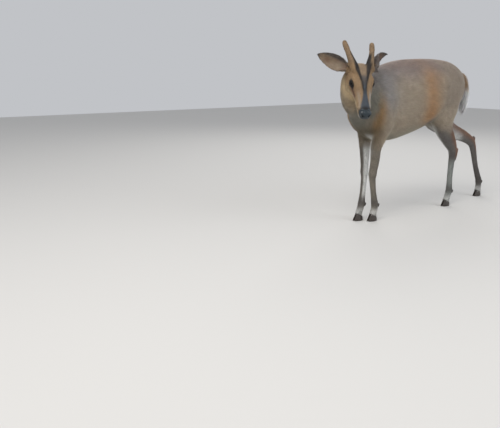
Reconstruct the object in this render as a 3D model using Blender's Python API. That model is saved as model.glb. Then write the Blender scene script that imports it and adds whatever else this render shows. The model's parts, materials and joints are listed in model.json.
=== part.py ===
"""A life-size standing muntjac buck, as closed solids in metres, +Z up.

The animal faces -Y, its left side is +X, and its hooves stand on Z = 0. Its head
is turned to its left. The flesh is modelled whole, from lofted sections, fused,
and parted into named pieces by thin cuts. Eyes, ears, hooves, dewclaws and tail
are pieces of their own, each set against what it grows from.
"""

import math

import bmesh
import bpy
import numpy as np
from mathutils import Matrix, Vector
from mathutils.bvhtree import BVHTree

# Driving sizes, in metres. Heights are above the ground.
GAP = 0.0003
CROUP_HEIGHT = 0.575
CHEST_FLOOR = 0.278

# The head's own frame: u runs to the nose, v to its left, w up from the face.
# Its origin lies midway between the eyes.
HEAD_AT = Vector((0.0864, -0.1460, 0.4871))
HEAD_YAW = math.radians(61.4)
HEAD_PITCH = math.radians(44.3)
HEAD_ROLL = math.radians(-1.8)
HEAD_SCALE = 0.92

EYE_RADIUS = 0.0132
EYE_PLACE = (0.002, 0.0322, 0.001)
EYE_LOOK = (0.42, 0.89, 0.12)
EAR_LENGTH = 0.116
PEDICLE_LENGTHS = {1: 0.097, -1: 0.108}
BUD_SHARE = 0.36

# Coarse fusing rounds the meeting of the big masses, fine fusing keeps the face.
MASS_VOXEL = 0.006
BODY_VOXEL = 0.003
FACE_VOXEL = 0.0012
MASS_SMOOTHING = 14
BODY_SMOOTHING = 5
FACE_SMOOTHING = 3
HEAD_TRIANGLES = 3000
BODY_TRIANGLES = 3800

COAT_COLOUR = (0.33, 0.21, 0.13)
HEAD_COLOUR = (0.38, 0.22, 0.11)
SHANK_COLOUR = (0.19, 0.14, 0.11)
EAR_COLOUR = (0.36, 0.25, 0.18)
TAIL_COLOUR = (0.45, 0.24, 0.12)
VELVET_COLOUR = (0.24, 0.15, 0.09)
NOSE_COLOUR = (0.02, 0.022, 0.026)
EYE_COLOUR = (0.008, 0.006, 0.006)
HOOF_COLOUR = (0.035, 0.03, 0.028)


def clear_scene():
    for item in list(bpy.data.objects):
        bpy.data.objects.remove(item)


def material_of(name, colour, roughness):
    made = bpy.data.materials.new(name)
    made.use_nodes = True
    shader = made.node_tree.nodes["Principled BSDF"]
    shader.inputs["Base Color"].default_value = (*colour, 1.0)
    shader.inputs["Roughness"].default_value = roughness
    shader.inputs["Metallic"].default_value = 0.0
    return made


def head_matrix():
    """Places the head's frame in the animal's frame."""
    level = Vector((math.sin(HEAD_YAW), -math.cos(HEAD_YAW), 0.0))
    left = Vector((math.cos(HEAD_YAW), math.sin(HEAD_YAW), 0.0))
    rise = Vector((0.0, 0.0, 1.0))
    ahead = level * math.cos(HEAD_PITCH) - rise * math.sin(HEAD_PITCH)
    crown = level * math.sin(HEAD_PITCH) + rise * math.cos(HEAD_PITCH)
    tilted_left = left * math.cos(HEAD_ROLL) + crown * math.sin(HEAD_ROLL)
    tilted_crown = crown * math.cos(HEAD_ROLL) - left * math.sin(HEAD_ROLL)
    turn = Matrix((ahead, tilted_left, tilted_crown)).transposed().to_4x4()
    return Matrix.Translation(HEAD_AT) @ turn @ Matrix.Scale(HEAD_SCALE, 4)


HEAD = head_matrix()


def object_from(name, points, faces):
    mesh = bpy.data.meshes.new(name)
    mesh.from_pydata([tuple(p) for p in points], [], faces)
    mesh.update()
    made = bpy.data.objects.new(name, mesh)
    bpy.context.scene.collection.objects.link(made)
    return made


def between(rows, steps):
    """Catmull-Rom values between the rows, which hold a few named stations."""
    rows = np.array(rows, float)
    padded = np.vstack([2 * rows[0] - rows[1], rows, 2 * rows[-1] - rows[-2]])
    found = []
    for i in range(len(rows) - 1):
        a, b, c, d = padded[i : i + 4]
        for k in range(steps):
            t = k / steps
            found.append(
                0.5
                * (
                    2 * b
                    + (c - a) * t
                    + (2 * a - 5 * b + 4 * c - d) * t**2
                    + (3 * b - a - 3 * c + d) * t**3
                )
            )
    found.append(rows[-1])
    return np.array(found)


def lofted(name, stations, reference, around=28, steps=4, power=2.0, place=None):
    """A closed skin over sections: each is (x, y, z, half width, above, below).

    Above and below are measured along the reference direction, kept square to
    the path. A power over 2 makes the sections boxier.
    """
    rows = between(stations, steps)
    rows[:, 3:] = np.maximum(rows[:, 3:], 0.0008)
    reference = Vector(reference)
    points = []
    for i, row in enumerate(rows):
        after, before = rows[min(i + 1, len(rows) - 1)], rows[max(i - 1, 0)]
        path = Vector(after[:3] - before[:3]).normalized()
        side = path.cross(reference).normalized()
        rise = side.cross(path).normalized()
        for k in range(around):
            turn = 2 * math.pi * k / around
            across, up = math.cos(turn), math.sin(turn)
            x = math.copysign(abs(across) ** (2 / power), across) * row[3]
            y = math.copysign(abs(up) ** (2 / power), up)
            y *= row[4] if up > 0 else row[5]
            points.append(Vector(row[:3]) + side * x + rise * y)
    faces = []
    for i in range(len(rows) - 1):
        for k in range(around):
            n = (k + 1) % around
            a, b = i * around, (i + 1) * around
            faces.append((a + k, a + n, b + n, b + k))
    faces.append(tuple(reversed(range(around))))
    faces.append(tuple(range((len(rows) - 1) * around, len(rows) * around)))
    made = object_from(name, points, faces)
    if place is not None:
        made.data.transform(place)
    face_outwards(made)
    return made


def face_outwards(piece):
    work = bmesh.new()
    work.from_mesh(piece.data)
    bmesh.ops.recalc_face_normals(work, faces=work.faces)
    work.to_mesh(piece.data)
    work.free()


def ellipsoid(name, centre, radii, turn=None, place=None, detail=3):
    work = bmesh.new()
    bmesh.ops.create_icosphere(work, subdivisions=detail, radius=1.0)
    mesh = bpy.data.meshes.new(name)
    work.to_mesh(mesh)
    work.free()
    made = bpy.data.objects.new(name, mesh)
    bpy.context.scene.collection.objects.link(made)
    shape = Matrix.Diagonal((*radii, 1.0))
    if turn is not None:
        shape = turn.to_4x4() @ shape
    mesh.transform(Matrix.Translation(centre) @ shape)
    if place is not None:
        mesh.transform(place)
    return made


def apply_modifiers(piece):
    """Bakes the piece's modifiers into its mesh."""
    depsgraph = bpy.context.evaluated_depsgraph_get()
    baked = bpy.data.meshes.new_from_object(piece.evaluated_get(depsgraph))
    piece.modifiers.clear()
    piece.data = baked


def joined(name, pieces, keep=False):
    """One object holding all the pieces' faces, as separate shells."""
    points, faces = [], []
    for piece in pieces:
        start = len(points)
        points += [v.co.copy() for v in piece.data.vertices]
        faces += [tuple(start + i for i in p.vertices) for p in piece.data.polygons]
        if not keep:
            bpy.data.objects.remove(piece)
    return object_from(name, points, faces)


def fused(piece, voxel, smoothing):
    remesh = piece.modifiers.new("fuse", "REMESH")
    remesh.mode = "VOXEL"
    remesh.voxel_size = voxel
    remesh.adaptivity = 0.0
    smooth = piece.modifiers.new("soften", "SMOOTH")
    smooth.factor = 0.5
    smooth.iterations = smoothing
    apply_modifiers(piece)
    return piece


def copy_of(piece, name):
    made = bpy.data.objects.new(name, piece.data.copy())
    bpy.context.scene.collection.objects.link(made)
    return made


def thinned(piece, triangles):
    piece.data.calc_loop_triangles()
    now = len(piece.data.loop_triangles)
    decimate = piece.modifiers.new("thin", "DECIMATE")
    decimate.ratio = min(1.0, triangles / now)
    decimate.use_collapse_triangulate = True
    apply_modifiers(piece)
    return piece


def cut(piece, cutter, operation="DIFFERENCE"):
    """Applies one Boolean with the cutter, and removes the cutter."""
    boolean = piece.modifiers.new("cut", "BOOLEAN")
    boolean.operation = operation
    boolean.object = cutter
    boolean.solver = "EXACT"
    apply_modifiers(piece)
    bpy.data.objects.remove(cutter)
    return piece


def shells_of(piece):
    """The piece's separate closed surfaces, as lists of face indices."""
    work = bmesh.new()
    work.from_mesh(piece.data)
    work.faces.ensure_lookup_table()
    seen, found = set(), []
    for face in work.faces:
        if face.index in seen:
            continue
        stack, shell = [face], []
        seen.add(face.index)
        while stack:
            here = stack.pop()
            shell.append(here.index)
            for edge in here.edges:
                for other in edge.link_faces:
                    if other.index not in seen:
                        seen.add(other.index)
                        stack.append(other)
        found.append(shell)
    work.free()
    return found


def parted(piece):
    """Every separate shell of the piece as an object of its own."""
    made = []
    for shell in shells_of(piece):
        used, points, faces = {}, [], []
        for index in shell:
            corner = []
            for v in piece.data.polygons[index].vertices:
                if v not in used:
                    used[v] = len(points)
                    points.append(piece.data.vertices[v].co.copy())
                corner.append(used[v])
            faces.append(tuple(corner))
        made.append(object_from(piece.name + "_shell", points, faces))
    bpy.data.objects.remove(piece)
    return made


def slab(centre, normal, reach_a, reach_b, toward, thickness=GAP):
    """A thin box square to the normal; reach_a runs along toward."""
    normal = Vector(normal).normalized()
    along = Vector(toward)
    along = (along - normal * along.dot(normal)).normalized()
    across = normal.cross(along)
    turn = Matrix((along, across, normal)).transposed().to_4x4()
    work = bmesh.new()
    bmesh.ops.create_cube(work, size=2.0)
    mesh = bpy.data.meshes.new("slab")
    work.to_mesh(mesh)
    work.free()
    shape = Matrix.Diagonal((reach_a, reach_b, thickness / 2, 1.0))
    mesh.transform(Matrix.Translation(centre) @ turn @ shape)
    made = bpy.data.objects.new("slab", mesh)
    bpy.context.scene.collection.objects.link(made)
    return made


# Trunk stations: along the body, back line, belly line, half width, widest height.
TRUNK = (
    (-0.086, 0.410, 0.358, 0.016, 0.384),
    (-0.074, 0.440, 0.332, 0.040, 0.384),
    (-0.044, 0.486, 0.306, 0.060, 0.388),
    (0.000, 0.524, 0.286, 0.074, 0.392),
    (0.060, 0.548, CHEST_FLOOR, 0.087, 0.398),
    (0.130, 0.564, 0.290, 0.100, 0.408),
    (0.210, 0.572, 0.312, 0.106, 0.420),
    (0.290, CROUP_HEIGHT, 0.344, 0.101, 0.440),
    (0.360, 0.570, 0.364, 0.088, 0.455),
    (0.415, 0.557, 0.372, 0.074, 0.458),
    (0.455, 0.538, 0.382, 0.056, 0.458),
    (0.482, 0.514, 0.398, 0.038, 0.456),
    (0.496, 0.488, 0.418, 0.018, 0.452),
)


def trunk():
    rows = [(0.0, y, mid, half, top - mid, mid - low) for y, top, low, half, mid in TRUNK]
    return lofted("trunk", rows, (0, 0, 1), around=40, power=2.15)


# The neck bends to the animal's left as it leaves the shoulders.
NECK = (
    (0.000, 0.070, 0.440, 0.064, 0.098, 0.098),
    (0.000, 0.010, 0.440, 0.068, 0.094, 0.102),
    (0.002, -0.045, 0.440, 0.061, 0.086, 0.086),
    (0.006, -0.082, 0.448, 0.053, 0.072, 0.074),
    (0.019, -0.110, 0.476, 0.048, 0.058, 0.066),
    (0.038, -0.126, 0.500, 0.041, 0.044, 0.052),
    (0.056, -0.134, 0.504, 0.033, 0.036, 0.040),
)


def neck():
    return lofted("neck", NECK, (0, 0, 1), around=32)


# Head sections: u, crown, jaw, half width, widest height, in the head's frame.
SKULL = (
    (-0.089, 0.014, -0.016, 0.014, 0.000),
    (-0.080, 0.030, -0.040, 0.031, -0.004),
    (-0.060, 0.039, -0.060, 0.040, -0.008),
    (-0.032, 0.040, -0.068, 0.043, -0.010),
    (-0.004, 0.032, -0.066, 0.042, -0.008),
    (0.022, 0.020, -0.060, 0.035, -0.014),
    (0.046, 0.008, -0.055, 0.0280, -0.022),
    (0.070, -0.005, -0.053, 0.0240, -0.030),
    (0.094, -0.016, -0.054, 0.0232, -0.035),
    (0.113, -0.026, -0.055, 0.0208, -0.041),
    (0.124, -0.037, -0.051, 0.0128, -0.044),
)


def skull():
    rows = [(u, 0.0, mid, half, top - mid, mid - low) for u, top, low, half, mid in SKULL]
    return lofted("skull", rows, (0, 0, 1), around=36, power=2.25, place=HEAD)


def both(side_points, sign):
    """The points with their sideways value turned to one side."""
    return [(p[0], p[1] * sign, *p[2:]) for p in side_points]


# The hairy ridge from each pedicle down to the bridge of the nose.
RIDGE = (
    (-0.060, 0.026, 0.030, 0.0090, 0.010, 0.010),
    (-0.030, 0.0215, 0.031, 0.0085, 0.010, 0.010),
    (-0.004, 0.0150, 0.0255, 0.0068, 0.0080, 0.008),
    (0.022, 0.0095, 0.0155, 0.0050, 0.0060, 0.006),
    (0.046, 0.0055, 0.0050, 0.0030, 0.0035, 0.004),
)

# Root and aim of each pedicle; the pair leans a little to the right.
PEDICLES = {
    1: ((-0.040, 0.0240, 0.030), (-0.092, 0.0180, 0.045)),
    -1: ((-0.040, -0.0255, 0.030), (-0.092, -0.0350, 0.043)),
}
PEDICLE_SHARES = (-0.30, -0.12, 0.06, 0.20, 0.36, 0.52, 0.70, 0.82, 0.95, 1.0)
PEDICLE_GIRTHS = (0.0070, 0.0130, 0.0160, 0.0146, 0.0122, 0.0106, 0.0098, 0.0092, 0.0078, 0.0034)


def pedicle_point(share, sign):
    root, aim = (Vector(v) for v in PEDICLES[sign])
    bow = math.sin(math.pi * min(1.0, max(0.0, share)))
    reach = PEDICLE_LENGTHS[sign] * share
    return root + aim.normalized() * reach + Vector((0.0, 0.004 * sign, 0.006)) * bow


def pedicle(sign):
    rows = []
    for share, girth in zip(PEDICLE_SHARES, PEDICLE_GIRTHS):
        rows.append((*pedicle_point(share, sign), girth * 0.92, girth, girth))
    return lofted("pedicle", rows, (0, 0, 1), around=18, steps=3, place=HEAD)


def eye_frame(sign):
    """Centre of the eye, where it looks, its long way and its upward way."""
    centre = Vector((EYE_PLACE[0], EYE_PLACE[1] * sign, EYE_PLACE[2]))
    look = Vector((EYE_LOOK[0], EYE_LOOK[1] * sign, EYE_LOOK[2])).normalized()
    along = (Vector((1, 0, -0.22)) - look * look.x).normalized()
    crown = look.cross(along)
    if crown.z < 0:
        crown = -crown
    return centre, look, along, crown


def lid_ring(sign):
    """Both lids as one almond ring, fuller above than below."""
    centre, look, along, crown = eye_frame(sign)
    centre = centre + look * 0.0055
    around, ring = 26, 8
    points, faces = [], []
    for i in range(around):
        t = 2 * math.pi * i / around
        middle = centre + along * (0.0150 * math.cos(t)) + crown * (0.0120 * math.sin(t))
        outward = (middle - centre).normalized()
        girth = 0.0034 + 0.0010 * max(0.0, math.sin(t))
        for k in range(ring):
            s = 2 * math.pi * k / ring
            points.append(middle + outward * (girth * math.cos(s)) + look * (girth * math.sin(s)))
    for i in range(around):
        n = (i + 1) % around
        for k in range(ring):
            m = (k + 1) % ring
            faces.append((i * ring + k, n * ring + k, n * ring + m, i * ring + m))
    made = object_from("lids", points, faces)
    made.data.transform(HEAD)
    face_outwards(made)
    return made


def eye_opening(sign):
    """An almond prism that bares the ball between the lids."""
    centre, look, along, crown = eye_frame(sign)
    around = 24
    points = []
    for reach in (0.001, 0.030):
        for i in range(around):
            t = 2 * math.pi * i / around
            rise = math.sin(t) * (0.70 + 0.30 * abs(math.sin(t)))
            tall = 0.0088 if rise > 0 else 0.0078
            points.append(centre + look * reach + along * (0.0122 * math.cos(t)) + crown * (tall * rise))
    faces = [(i, (i + 1) % around, around + (i + 1) % around, around + i) for i in range(around)]
    faces.append(tuple(range(around)))
    faces.append(tuple(range(around, 2 * around)))
    made = object_from("opening", points, faces)
    made.data.transform(HEAD)
    face_outwards(made)
    return made


def eyeball(name, sign, grow=0.0):
    centre = eye_frame(sign)[0]
    radius = EYE_RADIUS + grow / HEAD_SCALE
    return ellipsoid(name, centre, (radius, radius, radius), place=HEAD)


def face_forms(sign):
    """Brow, cheek, jaw, ridge, lids, lip fullness and ear root on one side."""
    forms = [
        lofted("ridge", both(RIDGE, sign), (0, 0, 1), around=14, place=HEAD),
        pedicle(sign),
        ellipsoid("brow", (-0.006, 0.0325 * sign, 0.0145), (0.018, 0.0080, 0.0075), place=HEAD),
        ellipsoid("cheek", (-0.028, 0.030 * sign, -0.030), (0.034, 0.016, 0.030), place=HEAD),
        ellipsoid("lip", (0.088, 0.0105 * sign, -0.036), (0.024, 0.0135, 0.0125), place=HEAD),
        lid_ring(sign),
        ear_root(sign),
    ]
    return forms


# Each ear: its root on the head, the way it points, and the way its cup opens.
EARS = {
    1: ((-0.066, 0.045, 0.012), (-0.070, 0.062, -0.008), (-0.10, 0.95, 0.10)),
    -1: ((-0.066, -0.046, 0.010), (-0.039, -0.098, 0.020), (0.62, -0.30, 0.56)),
}
EAR_ROOT_RADIUS = 0.0140


def ear_frame(sign):
    root, aim, opening = (Vector(v) for v in EARS[sign])
    aim.normalize()
    opening = (opening - aim * opening.dot(aim)).normalized()
    return root, aim, opening, aim.cross(opening)


def ear_root(sign):
    root, aim, opening, across = ear_frame(sign)
    rows = []
    for reach, girth in ((-0.030, 0.016), (-0.012, 0.017), (0.0, 0.0148), (0.008, 0.0140)):
        rows.append((*(root + aim * reach), girth, girth, girth))
    return lofted("ear_root", rows, tuple(opening), around=18, place=HEAD)


# Along an ear: share of its length, half width, and half the angle it curls through.
EAR_SHAPE = (
    (0.00, 0.0140, 160),
    (0.09, 0.0185, 136),
    (0.22, 0.0250, 106),
    (0.38, 0.0278, 82),
    (0.55, 0.0260, 66),
    (0.72, 0.0204, 54),
    (0.86, 0.0134, 46),
    (0.95, 0.0070, 42),
    (1.00, 0.0020, 40),
)


def ear(name, sign):
    """A cupped leaf with real thickness, open along its front."""
    root, aim, opening, across = ear_frame(sign)
    root = root + aim * (GAP / HEAD_SCALE)
    rows = between(EAR_SHAPE, 1)
    columns = 11
    outer, inner = [], []
    for share, half, curl in rows:
        angle = math.radians(curl)
        radius = half / math.sin(min(angle, math.pi / 2)) if angle < math.pi / 2 else half
        thick = 0.0030 - 0.0012 * share
        lean = opening * (0.010 * share * share)
        middle = root + aim * (EAR_LENGTH * share) + lean
        middle -= opening * (radius - 0.014 * (1 - share))
        for k in range(columns):
            t = (2 * k / (columns - 1) - 1) * angle
            edge = 1 - 0.55 * abs(2 * k / (columns - 1) - 1) ** 4
            spoke = across * math.sin(t) - opening * math.cos(t)
            outer.append(middle + opening * radius + spoke * radius)
            inner.append(middle + opening * radius + spoke * (radius - thick * edge))
    count = len(rows)
    points = outer + inner
    faces = []
    start = len(outer)
    for i in range(count - 1):
        for k in range(columns - 1):
            a, b = i * columns + k, (i + 1) * columns + k
            faces.append((a, a + 1, b + 1, b))
            faces.append((start + a, start + b, start + b + 1, start + a + 1))
        for k in (0, columns - 1):
            a, b = i * columns + k, (i + 1) * columns + k
            faces.append((a, b, start + b, start + a))
    for i in (0, count - 1):
        for k in range(columns - 1):
            a = i * columns + k
            faces.append((a, start + a, start + a + 1, a + 1))
    made = object_from(name, points, faces)
    made.data.transform(HEAD)
    face_outwards(made)
    return made


def grown(piece, amount):
    """A copy of the piece with every vertex moved outward."""
    made = copy_of(piece, piece.name + "_room")
    normals = [v.normal.copy() for v in made.data.vertices]
    for v, normal in zip(made.data.vertices, normals):
        v.co += normal * amount
    return made


def nose_blob(name):
    """The bare pad round both nostrils."""
    parts = [((0.1125, 0.0, -0.0375), (0.0160, 0.0182, 0.0165))]
    parts += [((0.1110, 0.0105 * s, -0.0310), (0.0140, 0.0108, 0.0115)) for s in (1, -1)]
    shells = [ellipsoid("pad", at, radii, place=HEAD) for at, radii in parts]
    return thinned(fused(joined(name, shells), 0.0010, 2), 360)


def nostril(sign):
    turn = Matrix.Rotation(0.6 * sign, 3, "Z") @ Matrix.Rotation(-0.35 * sign, 3, "X")
    return ellipsoid(
        "nostril", (0.1240, 0.0122 * sign, -0.0320), (0.0064, 0.0032, 0.0052), turn, HEAD, 2
    )


def on_head(tree, u, w, sign):
    """Where the head's side stands at these head-frame places."""
    start = HEAD @ Vector((u, 0.09 * sign, w))
    aim = (HEAD @ Vector((u, 0.0, w)) - start).normalized()
    return HEAD.inverted() @ tree.ray_cast(start, aim)[0]


# The mouth line from the front of the lips to the corner: u and w.
MOUTH = ((0.1120, -0.0500), (0.102, -0.0480), (0.090, -0.0455), (0.076, -0.0425), (0.063, -0.0405))


def mouth_lines(piece):
    tree = BVHTree.FromPolygons(
        [v.co for v in piece.data.vertices], [p.vertices[:] for p in piece.data.polygons]
    )
    lines = []
    for sign in (1, -1):
        rows = []
        for u, w in MOUTH:
            rows.append((*on_head(tree, u, w, sign), 0.0011, 0.0011, 0.0011))
        front = (0.1210, 0.0, -0.0500, 0.0011, 0.0011, 0.0011)
        lines.append(lofted("mouth", [front] + rows, (0, 0, 1), around=8, place=HEAD))
        slit = []
        for u, w, girth in ((0.0165, -0.010, 0.0008), (0.026, -0.0145, 0.0024), (0.038, -0.019, 0.0010)):
            slit.append((*on_head(tree, u, w, sign), girth * 0.8, girth, girth))
        lines.append(lofted("gland", slit, (0, 0, 1), around=10, place=HEAD))
    return lines


# Leg stations: x, y, z, half width across, depth in front, depth behind.
FORE_LEFT = (
    (0.050, 0.012, 0.345, 0.030, 0.038, 0.036),
    (0.045, -0.001, 0.300, 0.0235, 0.029, 0.025),
    (0.039, -0.010, 0.262, 0.0188, 0.0218, 0.0198),
    (0.034, -0.0075, 0.215, 0.0156, 0.0180, 0.0174),
    (0.030, -0.009, 0.183, 0.0145, 0.0165, 0.0155),
    (0.0275, -0.0095, 0.166, 0.0150, 0.0166, 0.0164),
    (0.0245, -0.0065, 0.146, 0.0118, 0.0133, 0.0136),
    (0.0210, 0.005, 0.100, 0.0098, 0.0112, 0.0118),
    (0.0190, 0.014, 0.066, 0.0110, 0.0120, 0.0138),
    (0.0190, 0.0185, 0.050, 0.0130, 0.0133, 0.0156),
    (0.0183, 0.019, 0.034, 0.0126, 0.0126, 0.0133),
    (0.0178, 0.0147, 0.016, 0.0140, 0.0150, 0.0145),
    (0.0174, 0.0108, 0.000, 0.0146, 0.0165, 0.0150),
)
FORE_RIGHT = (
    (-0.0505, 0.0185, 0.345, 0.031, 0.038, 0.040),
    (-0.048, 0.022, 0.300, 0.0240, 0.0265, 0.0315),
    (-0.043, 0.019, 0.258, 0.0190, 0.0215, 0.0225),
    (-0.035, 0.013, 0.215, 0.0152, 0.0175, 0.0172),
    (-0.0298, 0.0088, 0.183, 0.0136, 0.0155, 0.0150),
    (-0.0280, 0.0065, 0.166, 0.0142, 0.0156, 0.0158),
    (-0.0262, 0.0052, 0.146, 0.0113, 0.0128, 0.0132),
    (-0.0229, -0.0018, 0.100, 0.0098, 0.0112, 0.0118),
    (-0.0201, -0.0087, 0.066, 0.0110, 0.0120, 0.0138),
    (-0.0195, -0.0113, 0.050, 0.0130, 0.0133, 0.0156),
    (-0.0189, -0.0157, 0.034, 0.0126, 0.0126, 0.0133),
    (-0.0180, -0.0219, 0.016, 0.0140, 0.0150, 0.0145),
    (-0.0175, -0.0259, 0.000, 0.0146, 0.0165, 0.0150),
)
HIND_LEFT = (
    (0.043, 0.378, 0.470, 0.036, 0.076, 0.060),
    (0.050, 0.3565, 0.410, 0.039, 0.074, 0.060),
    (0.057, 0.334, 0.352, 0.035, 0.060, 0.051),
    (0.058, 0.345, 0.308, 0.028, 0.039, 0.0375),
    (0.056, 0.3805, 0.264, 0.0205, 0.0275, 0.0315),
    (0.0495, 0.4145, 0.232, 0.0160, 0.0195, 0.0225),
    (0.045, 0.428, 0.206, 0.0140, 0.0165, 0.0195),
    (0.040, 0.432, 0.178, 0.0115, 0.0140, 0.0148),
    (0.032, 0.440, 0.120, 0.0100, 0.0120, 0.0122),
    (0.025, 0.450, 0.070, 0.0112, 0.0124, 0.0140),
    (0.0225, 0.454, 0.052, 0.0130, 0.0135, 0.0156),
    (0.0205, 0.452, 0.034, 0.0126, 0.0128, 0.0133),
    (0.0190, 0.447, 0.016, 0.0140, 0.0150, 0.0145),
    (0.0180, 0.443, 0.000, 0.0146, 0.0165, 0.0150),
)
HIND_RIGHT = (
    (-0.044, 0.396, 0.470, 0.036, 0.074, 0.062),
    (-0.054, 0.402, 0.410, 0.039, 0.072, 0.064),
    (-0.062, 0.434, 0.355, 0.035, 0.060, 0.052),
    (-0.064, 0.484, 0.317, 0.029, 0.047, 0.048),
    (-0.054, 0.549, 0.283, 0.0230, 0.036, 0.035),
    (-0.045, 0.617, 0.258, 0.0182, 0.0260, 0.0260),
    (-0.040, 0.667, 0.231, 0.0150, 0.0195, 0.0210),
    (-0.037, 0.686, 0.200, 0.0120, 0.0150, 0.0160),
    (-0.032, 0.703, 0.132, 0.0100, 0.0117, 0.0124),
    (-0.028, 0.725, 0.074, 0.0112, 0.0122, 0.0140),
    (-0.027, 0.733, 0.054, 0.0130, 0.0135, 0.0156),
    (-0.0265, 0.734, 0.035, 0.0126, 0.0128, 0.0133),
    (-0.026, 0.731, 0.016, 0.0140, 0.0150, 0.0145),
    (-0.026, 0.728, 0.000, 0.0146, 0.0165, 0.0150),
)
LEGS = {
    "foreleg_left": FORE_LEFT,
    "foreleg_right": FORE_RIGHT,
    "hindleg_left": HIND_LEFT,
    "hindleg_right": HIND_RIGHT,
}


def leg(name):
    return lofted(name, LEGS[name], (0, -1, 0), around=20)


def hock_point(at, lean):
    """The heel bone that stands out behind the hock."""
    top = Vector(at)
    rows = []
    for share, girth in ((1.0, 1.05), (0.6, 1.05), (0.25, 1.0), (0.0, 0.85), (-0.10, 0.4)):
        place = top + Vector(lean) * share
        rows.append((*place, 0.0085 * girth, 0.0095 * girth, 0.0095 * girth))
    return lofted("hock_point", rows, (0, -1, 0), around=14)


# Shoulder blade and upper arm of one side.
SHOULDER = (
    (0.036, 0.056, 0.525, 0.014, 0.030, 0.032),
    (0.052, 0.036, 0.475, 0.024, 0.046, 0.046),
    (0.063, 0.006, 0.415, 0.028, 0.048, 0.048),
    (0.066, -0.006, 0.368, 0.027, 0.040, 0.044),
    (0.056, 0.010, 0.325, 0.023, 0.030, 0.032),
)


def big_masses():
    pieces = [trunk(), neck()]
    for sign in (1, -1):
        shoulder = [(row[0] * sign, *row[1:]) for row in SHOULDER]
        pieces.append(lofted("shoulder", shoulder, (0, -1, 0), around=24))
    pieces += [leg(name) for name in LEGS]
    return fused(joined("masses", pieces), MASS_VOXEL, MASS_SMOOTHING)


def body_flesh():
    pieces = [big_masses(), skull()]
    pieces += [leg(name) for name in LEGS]
    pieces += [
        hock_point((0.047, 0.449, 0.226), (-0.002, -0.010, -0.045)),
        hock_point((-0.042, 0.690, 0.249), (0.002, -0.008, -0.048)),
    ]
    return fused(joined("body", pieces), BODY_VOXEL, BODY_SMOOTHING)


def head_flesh():
    pieces = [skull(), neck()]
    for sign in (1, -1):
        pieces += face_forms(sign)
    made = fused(joined("head", pieces), FACE_VOXEL, FACE_SMOOTHING)
    trimmed(made, POLL + POLL_WAY * (GAP / 2), -POLL_WAY)
    thinned(made, HEAD_TRIANGLES)
    for cutter in [eye_opening(1), eye_opening(-1)] + mouth_lines(made):
        cut(made, cutter)
    return made


# The plane between head and neck.
POLL = Vector((0.026, -0.110, 0.490))
POLL_WAY = Vector((0.68, -0.70, 0.20)).normalized()

# Thin cuts through the body: place, normal, reach each way, and the way of the first reach.
BODY_CUTS = (
    ((0.000, -0.040, 0.430), (0.05, -0.97, 0.22), 0.150, 0.110, (0, 0, 1)),
    ((0.047, -0.001, 0.270), (0.10, 0.0, 1.0), 0.038, 0.036, (0, 1, 0)),
    ((-0.050, 0.012, 0.270), (-0.10, 0.0, 1.0), 0.040, 0.036, (0, 1, 0)),
    ((0.062, 0.350, 0.319), (0.20, 0.0, 1.0), 0.085, 0.050, (0, 1, 0)),
    ((-0.068, 0.452, 0.335), (-0.15, -0.55, 0.85), 0.085, 0.048, (0, 1, 0)),
    ((0.033, -0.003, 0.168), (0, 0, 1), 0.030, 0.026, (0, 1, 0)),
    ((-0.032, 0.001, 0.168), (0, 0, 1), 0.030, 0.026, (0, 1, 0)),
    ((0.046, 0.427, 0.216), (0, 0.1, 1), 0.040, 0.030, (0, 1, 0)),
    ((-0.040, 0.665, 0.228), (0, -0.35, 1), 0.040, 0.030, (0, 1, 0)),
)
NODE_PLACES = {
    "torso": (0.0, 0.22, 0.43),
    "neck": (0.005, -0.08, 0.46),
    "foreleg_left_upper": (0.040, -0.003, 0.215),
    "foreleg_right_upper": (-0.041, 0.006, 0.215),
    "hindleg_left_upper": (0.057, 0.378, 0.275),
    "hindleg_right_upper": (-0.056, 0.545, 0.280),
    "foreleg_left_lower": (0.026, 0.010, 0.090),
    "foreleg_right_lower": (-0.026, -0.006, 0.090),
    "hindleg_left_lower": (0.034, 0.440, 0.110),
    "hindleg_right_lower": (-0.035, 0.695, 0.120),
}


def nearest_named(shells, places):
    """Names each shell by the place its middle is nearest to; spare scraps go."""
    best = {}
    for shell in shells:
        middle = sum((v.co for v in shell.data.vertices), Vector()) / len(shell.data.vertices)
        name = min(places, key=lambda n: (Vector(places[n]) - middle).length)
        held = best.get(name)
        if held is None or len(held.data.vertices) < len(shell.data.vertices):
            best[name] = shell
    for shell in shells:
        if shell not in best.values():
            bpy.data.objects.remove(shell)
    for name, shell in best.items():
        shell.name = name
    return best


# The coronet is where the leg ends and the hooves start: height, and tilt to the front.
CORONET = 0.010
CORONET_TILT = 0.42
SOLE = -0.012
HOOF_WIDE = 0.0072
HOOF_SPREAD = 0.0071
# A cleave's levels: height over the sole, half its length, and how far back its middle lies.
HOOF_LEVELS = (
    (0.000, 0.0202, -0.0068),
    (0.004, 0.0200, -0.0060),
    (0.012, 0.0190, -0.0044),
    (0.045, 0.0158, 0.0030),
)


def foot_of(name):
    """Middle of the foot at coronet height, from the leg's last stations."""
    rows = LEGS[name]
    low, high = Vector(rows[-1][:3]), Vector(rows[-2][:3])
    share = (CORONET - low.z) / (high.z - low.z)
    return low.lerp(high, share)


def coronet_normal():
    return Vector((0.0, CORONET_TILT, 1.0)).normalized()


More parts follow.
